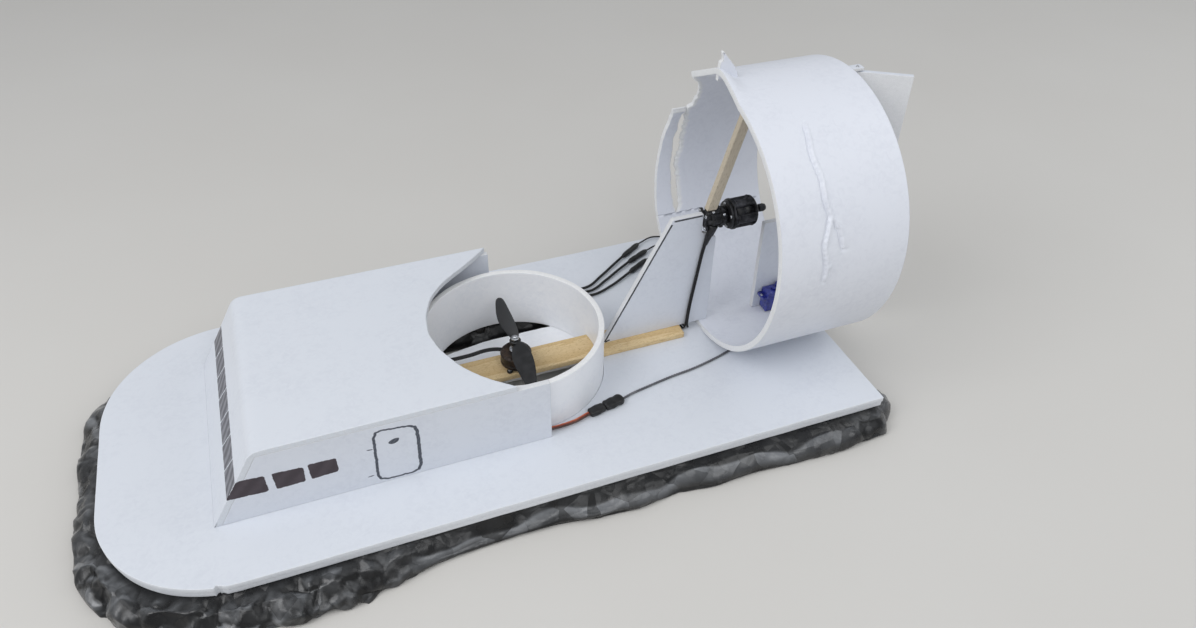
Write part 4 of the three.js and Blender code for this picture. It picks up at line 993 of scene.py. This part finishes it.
angles = np.linspace(STRIP[0, 0], STRIP_FOOT - 0.02, 150)
front = np.interp(angles, STRIP[:, 0], STRIP[:, 1]) + uneven(angles, 150, 1.5, 0.15)
aft = np.interp(angles, STRIP[:, 0], STRIP[:, 2]) + uneven(angles, 150, 1.5, 0.35) * np.clip((angles - 158.5) / 3, 0, 1)
x, r, bare = duct_loops(angles, front, aft, np.linspace(0, 1, 20), np.linspace(0, 1, 12))
end_thin = np.clip((angles - STRIP[0, 0]) / 1.2, 0.35, 1)[:, None]
r = middle + (r - middle) * end_thin + out_of_round(angles)[:, None]
bare = np.maximum(bare, (angles < 158)[:, None] | (x < aft[:, None] + 1.0))
solid("torn_strip", [around(x, r, angles)], duct_board, "foam_duct", bare_core_and_painted_light=bare)

# Torn tab: a splinter of the duct's foam that the strike has left standing on the rim, with a short prong before it.
TAB = [(-209.4, 244.6), (-228.5, 244.6), (-226.8, 250), (-224, 255.3), (-218, 262.2), (-213.2, 268.0), (-212.1, 268.8),
       (-211.5, 267.6), (-212.3, 264), (-212.6, 260.9), (-211.5, 261.3), (-210.4, 259.9), (-210.0, 255), (-209.6, 250)]
fit(board("duct_tab", walked(TAB, 0.6, waver=0.05, seed=3), -12.7, -8.8, "xz", soft=0.5), duct_board, "foam_duct",
    "duct_tab")


# Pylon: foam board fin on edge, glued on the batten. It carries the motor, and dark lines are drawn on its port
# face along its slanting front edge and its top, with a short one near its foot.
HALF_BOARD = 2.5
PYLON = [(-111, 5.34), (-174, 127), (-203.4, 127), (-203.4, 108), (-218, 100), (-218, 5.34)]
fit(board("pylon", walked(PYLON, 1.0, waver=0.03, seed=9), -HALF_BOARD, HALF_BOARD, "xz", soft=0.3), wall_board,
    "foam_board", "pylon")
dark_edge_line = felt_pen("dark_edge_line", (52, 52, 56), (96, 96, 100), 260.0)
STROKES = {
    # start, end, half the width
    "pylon_front_line": ((-112.9, 6.4), (-173.4, 122.6), 0.85),
    "pylon_top_line": ((-175.4, 125.4), (-202.4, 125.6), 0.85),
    "pylon_foot_mark": ((-113.4, 6.2), (-117.8, 7.6), 0.9)}
for name, (start, stop, half) in STROKES.items():
    start, stop = np.array(start), np.array(stop)
    ahead = (stop - start) / np.linalg.norm(stop - start)
    aside = np.array([-ahead[1], ahead[0]]) * half
    stroke = walked([start - aside, stop - aside, stop + aside, start + aside], 0.9, waver=0.03, seed=2)
    inked(name, stroke, dark_edge_line, HALF_BOARD)


# Motor mount: a moulded black mount. Its lobed cross is screwed to the pylon's end, and a ribbed barrel carries the
# round flange to which the motor is bolted.
MOTOR_AXIS = (0.0, 120.0)
cross = arc(6.2 + 4.6 * np.clip(np.cos(4 * (turns(200) - np.pi / 4)), 0, 1) ** 0.7, count=200, centre=MOTOR_AXIS)
barrel = turned(crisp([(7.4, -227.0), (7.4, -222.4), (8.8, -222.0), (8.8, -219.4), (7.2, -219.0), (7.2, -213.6),
                       (8.6, -213.2), (8.6, -209.8), (7.0, -209.4), (7.0, -206.0)], 0.2), MOTOR_AXIS, "x", sides=120,
                flute=lambda a, x: 1.5 * np.clip(np.cos(5 * a) * 3, -0.6, 1) * (np.abs(x + 216.5) < 10.4))
flange = turned(crisp([(5.0, -229.25), (12.5, -229.25), (12.5, -227.2), (8.4, -226.6), (5.0, -226.6)], 0.3),
                MOTOR_AXIS, "x")
solid("motor_mount", [edge_band(cross, -206.3, -203.75, "yz")[0], barrel, flange], black_plastic, "black_plastic",
      "motor_mount")
bolts = [*studs((45, 135, 225, 315), 8.6, MOTOR_AXIS, -204.6, -202.9, 1.7, "x"),
         *studs((20, 110, 200, 290), 10.2, MOTOR_AXIS, -227.8, -225.9, 1.5, "x")]
for place, degrees in ((-211.5, 62), (-220.8, 38), (-216.2, 88)):
    out = spin(degrees)[0]
    bolts.append(rod((place, *(8.2 * out + MOTOR_AXIS)), (place, *(10.3 * out + MOTOR_AXIS)), 1.25, sides=16))
solid("mount_bolts", bolts, silver, "steel")


# Thrust motor: the outrunner's can with slots between its magnets, a chamfered rear cap with vents, and the bare
# propeller adapter. Its propeller is missing: only the collet's neck and round knob are left.
THRUST_CAN = [(12.6, -229.62), (14, -230.3), (14, -233.4), (13.5, -233.8), (13.5, -249.6), (14, -249.9), (14, -251.2),
              (12.4, -252.6), (8.2, -253.6), (6.2, -255.0), (2.6, -255.0)]
slots = magnets(5, 4.6, -251.6, -231.0, narrow=-0.05, turn=0.66)
neck = turned(crisp([(2.1, -255.1), (2.1, -259.4)], 0.15), MOTOR_AXIS, "x", sides=32)
knob = turned(crisp([(2.4, -258.9), (3.5, -259.4), (3.6, -263.6), (2.9, -265.6), (1.6, -266.4)], 0.3), MOTOR_AXIS, "x",
              sides=144, flute=lambda a, x: -0.16 * np.clip(np.cos(24 * a), 0, 1) * (np.abs(x + 261.6) < 1.9))
fit(can("thrust_motor_can", THRUST_CAN, 0.22, MOTOR_AXIS, "x", slots), can_black, "motor_can", "thrust_motor_can",
    body="thrust_rotor")
slot_floor = turned([(10.2, -251.4), (10.2, -231.2)], MOTOR_AXIS, "x")
vents = studs(60 * np.arange(6) + 12, 9.4, MOTOR_AXIS, -252.6, -253.4, 1.7, "x", sides=18)
solid("can_slot_floor", [slot_floor], jet, "motor_can", body="thrust_rotor")
solid("can_vents", vents, jet, "motor_can", body="thrust_rotor")
solid("prop_adapter", [neck, knob], black_plastic, "black_plastic", "prop_adapter", body="thrust_rotor")


# Mast: a square hardwood stick, greyer than the batten. It leans aft from the motor mount to the top of the duct.
mast_wood = wood("mast_wood", (208, 198, 180), (186, 174, 153), (156, 143, 122), (0.06, 0.06, 0.5),
                 tilt=(0, np.radians(-15.7), 0))
MAST = [(-206, 129.4), (-215.5, 129.4), (-246.6, 239.9), (-237.1, 239.9)]
fit(board("mast", walked(crisp(MAST, 0.5, closed=True), 0.8, waver=0.02, seed=6), -3, 3, "xz", soft=0.5), mast_wood,
    "mast_wood", "mast")


# Fin: foam board on edge inside the duct's rear, cut away at the top. Two small plates glued across its ends hold
# the steel wire that the rudder turns on.
FIN = [(-267.3, 5.5), (-331, 5.5), (-331, 240.0), (-311, 240.0), (-311, 112), (-298, 103), (-267.3, 103)]
fit(board("fin", walked(FIN, 1.0, waver=0.03, seed=21), -HALF_BOARD, HALF_BOARD, "xz", soft=0.3), wall_board,
    "foam_board", "fin")
HINGE_X, WIRE_RADIUS = -335.5, 1.0
tag = walked(crisp([(-340, -4), (-325.6, -4), (-325.6, 4), (-340, 4)], 0.8, closed=True), 0.5, waver=0.03, seed=1)
bore = arc(WIRE_RADIUS + 0.25, centre=(HINGE_X, 0))
for name, low, high in (("hinge_plate_top", 240.05, 242.6), ("hinge_plate_bottom", 2.9, 5.45)):
    fit(board(name, tag, low, high, soft=0.3, openings=[bore]), wall_board, "foam_board", name)
solid("hinge_wire", [rod((HINGE_X, 0, 2.0), (HINGE_X, 0, 243.6), WIRE_RADIUS)], silver, "steel", "hinge_rod")


# Rudder: a foam board strip, rounded along its front edge and threaded on the hinge wire. It stands over to port.
# A white moulded horn is glued on its port face.
RUDDER_CHORD, RUDDER_TURN, CRANK = 46.5, np.radians(-32.0), 12.0
RUDDER_FOOT, RUDDER_HEAD = 8.0, 239.0
HORN_LEVELS, EYE = (33.4, 35.0), 0.72
rudder_frame = np.array([[np.cos(RUDDER_TURN), np.sin(RUDDER_TURN), 0], [-np.sin(RUDDER_TURN), np.cos(RUDDER_TURN), 0],
                         [0, 0, 1], [HINGE_X, 0, 0]])
blade = np.vstack([[(-RUDDER_CHORD, -HALF_BOARD)], arc(HALF_BOARD, -np.pi / 2, np.pi / 2, 18),
                   [(-RUDDER_CHORD, HALF_BOARD)]])
fit(board("rudder", walked(blade, 0.7, waver=0.02, seed=14), RUDDER_FOOT, RUDDER_HEAD, rudder_frame,
          openings=[arc(WIRE_RADIUS + 0.1)]), wall_board, "foam_board", "rudder", body="rudder")
white_plastic = grained("white_plastic", (226, 226, 222), (205, 205, 200), 0.36)
horn = np.vstack([[(-18, 2.75), (-4.5, 2.75), (2.6, 10.8)], arc(2.9, -0.4, np.pi - 0.2, 12, (0, CRANK))])
fit(board("rudder_horn", walked(horn, 0.45), *HORN_LEVELS, rudder_frame, soft=0.2,
          openings=[arc(EYE, centre=(0, CRANK))]), white_plastic, "white_plastic", "rudder_horn", body="rudder")


# Servo: the usual small translucent blue servo with its mounting ears, glued on the fin. It turns the rudder through
# a white arm and a bent wire pushrod.
SERVO_AXIS = np.array([-292.0, 8.8])
servo_blue = grained("servo_blue", (20, 24, 84), (72, 80, 168), 0.18, grain=0.00001, gloss=0.14, inside=(40, 50, 150),
                     Specular_IOR_Level=0.6, Coat_Weight=0.4)
case = [edge_band(walked(crisp([(x0, y0), (x1, y0), (x1, y1), (x0, y1)], corner, closed=True), 0.5), z0, z1,
                  soft=soft)[0]
        for x0, x1, y0, y1, z0, z1, corner, soft in (
            # foot, body, collar and lid, then the two ears: extents, corners' radius, broken edges
            (-298, -275, 2.75, 14.8, 7.2, 12.6, 0.6, 0.25), (-297.85, -275.15, 2.75, 14.65, 12.5, 21.7, 0.6, 0.1),
            (-298, -275, 2.75, 14.8, 21.5, 26.6, 0.6, 0.1), (-297.85, -275.15, 2.75, 14.65, 26.5, 29.0, 0.6, 0.4),
            (-302.5, -297.6, 2.85, 14.7, 21.6, 24.0, 0.8, 0.25), (-275.4, -270.5, 2.85, 14.7, 21.6, 24.0, 0.8, 0.25))]
case[4:4] = [turned(crisp([(5.8, 28.6), (5.8, 32.3), (3.0, 32.9)], 0.3), SERVO_AXIS),
             turned(crisp([(2.9, 28.6), (2.9, 31.0), (2.2, 31.2)], 0.2), (-284.6, 8.8), sides=32)]
solid("servo", case, servo_blue, "servo_case", "servo")
screws = [rod((x, 8.8, 23.6), (x, 8.8, 24.7), 1.5) for x in (-300.6, -272.4)]
solid("servo_screws", screws, silver, "steel")

arm_frame = np.array([*rudder_frame[:3], [*SERVO_AXIS, 0]])
arm = np.vstack([arc(1.9, np.pi, 0, 12, (0, CRANK)), arc(3.2, 0, -np.pi, 14)])
holes = [arc(r, centre=(0, at)) for at, r in ((CRANK, EYE), (8.6, 0.5), (5.6, 0.5))]
fit(board("servo_arm", walked(arm, 0.45), *HORN_LEVELS, arm_frame, soft=0.2, openings=holes), white_plastic,
    "white_plastic", "servo_arm", body="servo_arm")
solid("servo_arm_screw", [rod((*SERVO_AXIS, 34.9), (*SERVO_AXIS, 35.7), 1.6)], silver, "steel",
      body="servo_arm")


def tube(path, radius, sides=12, offset=(0.0, 0.0), up=(0, 0, 1), up_end=None, twist=0.0):
    """Round section swept along a path (n, 3): the ring's plane is square to the path, its first axis is the path's
    direction crossed with up, which may change to up_end on the way. offset moves the section off the path in that
    plane, and twist turns the offset, in turns for the whole length."""
    ahead = np.gradient(path, axis=0)
    ahead /= np.linalg.norm(ahead, axis=1, keepdims=True)
    f = np.linspace(0, 1, len(path))[:, None]
    aside = np.cross(ahead, np.array(up) * (1 - f) + np.array(up_end or up) * f)
    aside /= np.linalg.norm(aside, axis=1, keepdims=True)
    rise = np.cross(aside, ahead)
    c, s = np.cos(2 * np.pi * twist * f), np.sin(2 * np.pi * twist * f)
    u, v = offset
    centre = path + (u * c - v * s) * aside + (u * s + v * c) * rise
    size = np.broadcast_to(radius, len(path))[:, None, None]
    return centre[:, None] + size * (arc(1.0, count=sides) @ np.stack([aside, rise], axis=1))


def spaced(points, step):
    """Smooth curve through the points with even steps along its length."""
    dense = curve_through(points, 16)
    way = lengths_along(dense)
    at = np.linspace(0, way[-1], max(6, int(way[-1] / step)))
    return np.stack([np.interp(at, way, dense[:, k]) for k in range(3)], axis=1)


crank = CRANK * np.array([-np.sin(RUDDER_TURN), np.cos(RUDDER_TURN)])
rod_a, rod_b = SERVO_AXIS + crank, np.array([HINGE_X, 0]) + crank
ROD_BENDS = [(0, 31.8), (0, 34.2), (0, 36.6), (0.012, 37.7), (0.04, 38.2), (0.3, 38.2)]  # share of the way, height
ROD_BENDS += [(0.7, 38.2), (0.96, 38.2), (0.988, 37.7), (1, 36.6), (1, 34.2), (1, 31.8)]
wire = spaced([(*(rod_a + (rod_b - rod_a) * f), z) for f, z in ROD_BENDS], 0.5)
run_across = (rod_a[1] - rod_b[1], rod_b[0] - rod_a[0], 0)
solid("pushrod", [tube(wire, 0.62, up=run_across)], silver, "steel", "pushrod", body="pushrod")


# Steering lead: brown, red and orange wires come out under the cabin wall and end in a plug. A second plug is pushed
# on it, both wrapped in black heat-shrink, and a thin grey twisted lead goes on under the duct to the servo.
def cable(name, colour, worn, rough=0.4):
    """Soft rubbery insulation with a little dust on it."""
    return grained(name, colour, worn, rough, grain=0.00001)


LEAD_PATH = [(20, 84.4, 2.8), (-8, 84.4, 2.8), (-24, 84.6, 2.8), (-38, 86, 2.8), (-55, 84.6, 2.8), (-66.8, 81.0, 2.9),
             (-69.4, 80.4, 2.9)]
for name, colour, worn, shift, nodes in (
        ("lead_wire_brown", (66, 46, 40), (92, 72, 64), 1.3, ("receiver_lead",)),
        ("lead_wire_red", (112, 48, 38), (140, 72, 58), 0.0, ()),
        ("lead_wire_orange", (190, 92, 56), (206, 124, 86), -1.3, ())):
    strand = tube(spaced(LEAD_PATH, 1.0), 0.68, offset=(shift, 0))
    solid(name, [strand], cable(name, colour, worn), "lead_servo", *nodes)
plug_a, plug_b = np.array([-68.9, 80.5]), np.array([-102.0, 73.4])
plug_along = (plug_b - plug_a) / np.linalg.norm(plug_b - plug_a)


def shrunk_plug(start, stop, half_wide, half_high, lumps, seed):
    """Plug in heat-shrink: superellipse sections cos^0.6, sin^0.6 whose size swells over the plug's body and
    tapers on the wires, with lumps along it."""
    f = np.linspace(0, 1, 46)[:, None]
    a = turns(40)
    swell = np.clip(np.minimum(f / 0.12, (1 - f) / 0.12), 0, 1) ** 0.5 * 0.42 + 0.58
    swell = swell * (1 + 0.05 * np.sin(2 * np.pi * lumps * f + np.random.default_rng(seed).uniform(0, 6)))
    cx, cz = (np.sign(w) * np.abs(w) ** 0.6 for w in (np.cos(a), np.sin(a)))
    wide = half_wide * swell * cx * (1 + 0.03 * np.sin(9 * f + 3 * a))
    at = plug_a + plug_along * (start + (stop - start) * f)
    return np.stack([at[:, :1] - plug_along[1] * wide, at[:, 1:] + plug_along[0] * wide,
                     0.12 + half_high + half_high * swell * cz], axis=-1)


heat_shrink = cable("heat_shrink", (15, 15, 16), (36, 36, 37))
for name, *plug in (("lead_plug", -0.3, 15.0, 4.6, 2.8, 1.5, 1), ("lead_socket", 15.0, 34.0, 5.1, 3.1, 2.5, 2)):
    solid(name, [shrunk_plug(*plug)], heat_shrink, "black_plastic", name)
SERVO_WIRE = [(-102.6, 73.2, 2.1), (-112, 69.6, 1.5), (-131, 65.6, 1.25), (-154.5, 61.4, 1.25), (-178, 58.4, 1.25),
              (-203, 52.8, 1.25), (-222, 47, 1.25), (-248, 40, 1.25), (-270, 34.4, 1.6), (-279, 32, 2.5),
              (-283, 30.9, 5.2), (-284.4, 30.2, 9.4), (-286, 26, 14), (-287, 21, 15), (-287.5, 15.0, 14)]
strands = [tube(spaced(SERVO_WIRE, 0.8), 0.6, sides=8, offset=(0.58 * np.cos(k), 0.58 * np.sin(k)), up=(0.02, 0.05, 1),
                twist=26) for k in (0, 2.1, 4.2)]
solid("servo_wire", strands, cable("lead_grey", (84, 85, 90), (120, 121, 125)), "lead_grey", "servo_wire")


# Motor leads: three black silicone wires run from the cabin along the starboard deck to bullet joints in heat-shrink,
# loop back to the pylon's foot and climb its port face in a bundle to the thrust motor.
LEADS = {
    # wire: speed controller's side up to the joint, far end of the joint, loop on to the motor
    "a": ([(10, -89, 9.2), (-40, -88.6, 9.2), (-85, -87.4, 7), (-127.6, -86, 2.6), (-148, -98.4, 2.6),
           (-168, -112.8, 2.8), (-182, -122.4, 3.2)], (-206, -138),
          [(-226, -145, 3), (-243, -136, 2.6), (-246, -112, 2.4), (-240, -82, 2.2), (-228, -56, 2), (-214, -38, 1.8),
           (-204.5, -26, 1.8), (-198.4, -14, 1.8), (-198, -3, 1.8), (-197.4, 4.8, 2.4), (-195.9, 6, 7),
           (-196.6, 5.1, 16), (-198.1, 4.9, 32), (-201.7, 4.9, 60), (-205.8, 4.9, 90), (-208.4, 5.6, 101),
           (-211.8, 7.6, 107.6), (-214, 6.8, 113)]),
    "b": ([(10, -89, 6), (-40, -88.6, 6), (-85, -86.8, 4.2), (-129.4, -79.8, 2.2), (-150, -90.6, 2.2),
           (-168, -101.6, 2.8), (-184, -111, 3.2)], (-209.5, -124),
          [(-226, -129, 3), (-236, -119, 2.6), (-236, -100, 2.2), (-229, -72, 2), (-216, -48, 1.8),
           (-202.5, -31.5, 1.8), (-195.6, -15, 1.8), (-195.1, -3, 1.8), (-195, 3.2, 2.6), (-194.9, 3.9, 6.4),
           (-195.8, 3.5, 16), (-197.3, 3.5, 32), (-200.9, 3.5, 60), (-205, 3.5, 90),
           (-207.2, 4, 101), (-208.6, 5.4, 107.4), (-209.8, 5.4, 112.8)]),
    "c": ([(10, -89, 2.8), (-40, -88.6, 2.8), (-85, -83.6, 1.8), (-130.4, -73.2, 2), (-152, -80.2, 2.2),
           (-166, -87.2, 2.8), (-178.6, -94.4, 3.2)], (-203, -108.5),
          [(-218, -114, 3), (-227, -106, 2.6), (-226.5, -90, 2.2), (-219, -64, 2), (-207, -45, 1.8), (-197, -31.5, 1.8),
           (-192.6, -16, 1.8), (-192.3, -3, 1.8), (-192.5, 4.8, 2.4), (-194.2, 6, 7), (-195, 5.1, 16),
           (-196.5, 4.9, 32), (-200.1, 4.9, 60), (-204.2, 4.9, 90), (-205.6, 5.6, 101), (-206, 8.2, 107.4),
           (-207.4, 7.4, 112.6)]),
}
silicone = cable("black_silicone", (9, 9, 10), (28, 28, 29), 0.5)
for tag, (to_joint, joint_end, loop) in LEADS.items():
    start, stop = np.array(to_joint[-1]), np.array((*joint_end, 3.2))
    f = np.linspace(0, 1, 40)
    swell = 1.55 + 1.15 * np.clip(np.minimum(f / 0.14, (1 - f) / 0.14), 0, 1) ** 0.6 + 0.1 * np.sin(15 * f + ord(tag))
    joint = start + (stop - start) * f[:, None] - (0, 0, 0.25)
    climb = tube(spaced([tuple(stop), *loop], 1.4), 0.84, up_end=(1, 0.15, 0.2))
    for name, grid, finish in ((f"esc_lead_{tag}", tube(spaced(to_joint, 1.4), 1.3), silicone),
                               (f"bullet_{tag}", tube(joint, swell, sides=20), heat_shrink),
                               (f"motor_lead_{tag}", climb, silicone)):
        solid(name, [grid], finish, "lead_black", name)
# A sleeve of heat-shrink round the bundle flares into the motor's foot.
sleeve = tube(spaced([(-206.6, 4.9, 96), (-207.6, 5.3, 101), (-208.6, 5.9, 106), (-210, 6.6, 111), (-211.4, 6.8, 116)],
                     0.8), 1.0)
middle = sleeve.mean(axis=1, keepdims=True)
sleeve = middle + (sleeve - middle) * np.linspace(1.9, 4.4, len(sleeve))[:, None, None]
solid("lead_sleeve", [sleeve], black_plastic, "lead_black")


# Lift motor leads: three short black wires side by side from the motor into the cabin.
LIFT_LEAD = [(-25.6, -8.6, 7.2), (-23.4, -15.4, 7.4), (-18.6, -19.4, 7.8), (-7.2, -22, 8), (9.4, -20.4, 8),
             (23.3, -20.2, 8), (36, -20.6, 8), (49, -21, 8.2)]
flat_run = [tube(spaced(LIFT_LEAD, 1.0), 0.78, offset=(shift, 0)) for shift in (-1.5, 0, 1.5)]
solid("lift_motor_lead", flat_run, silicone, "lead_black", "lift_motor_lead")
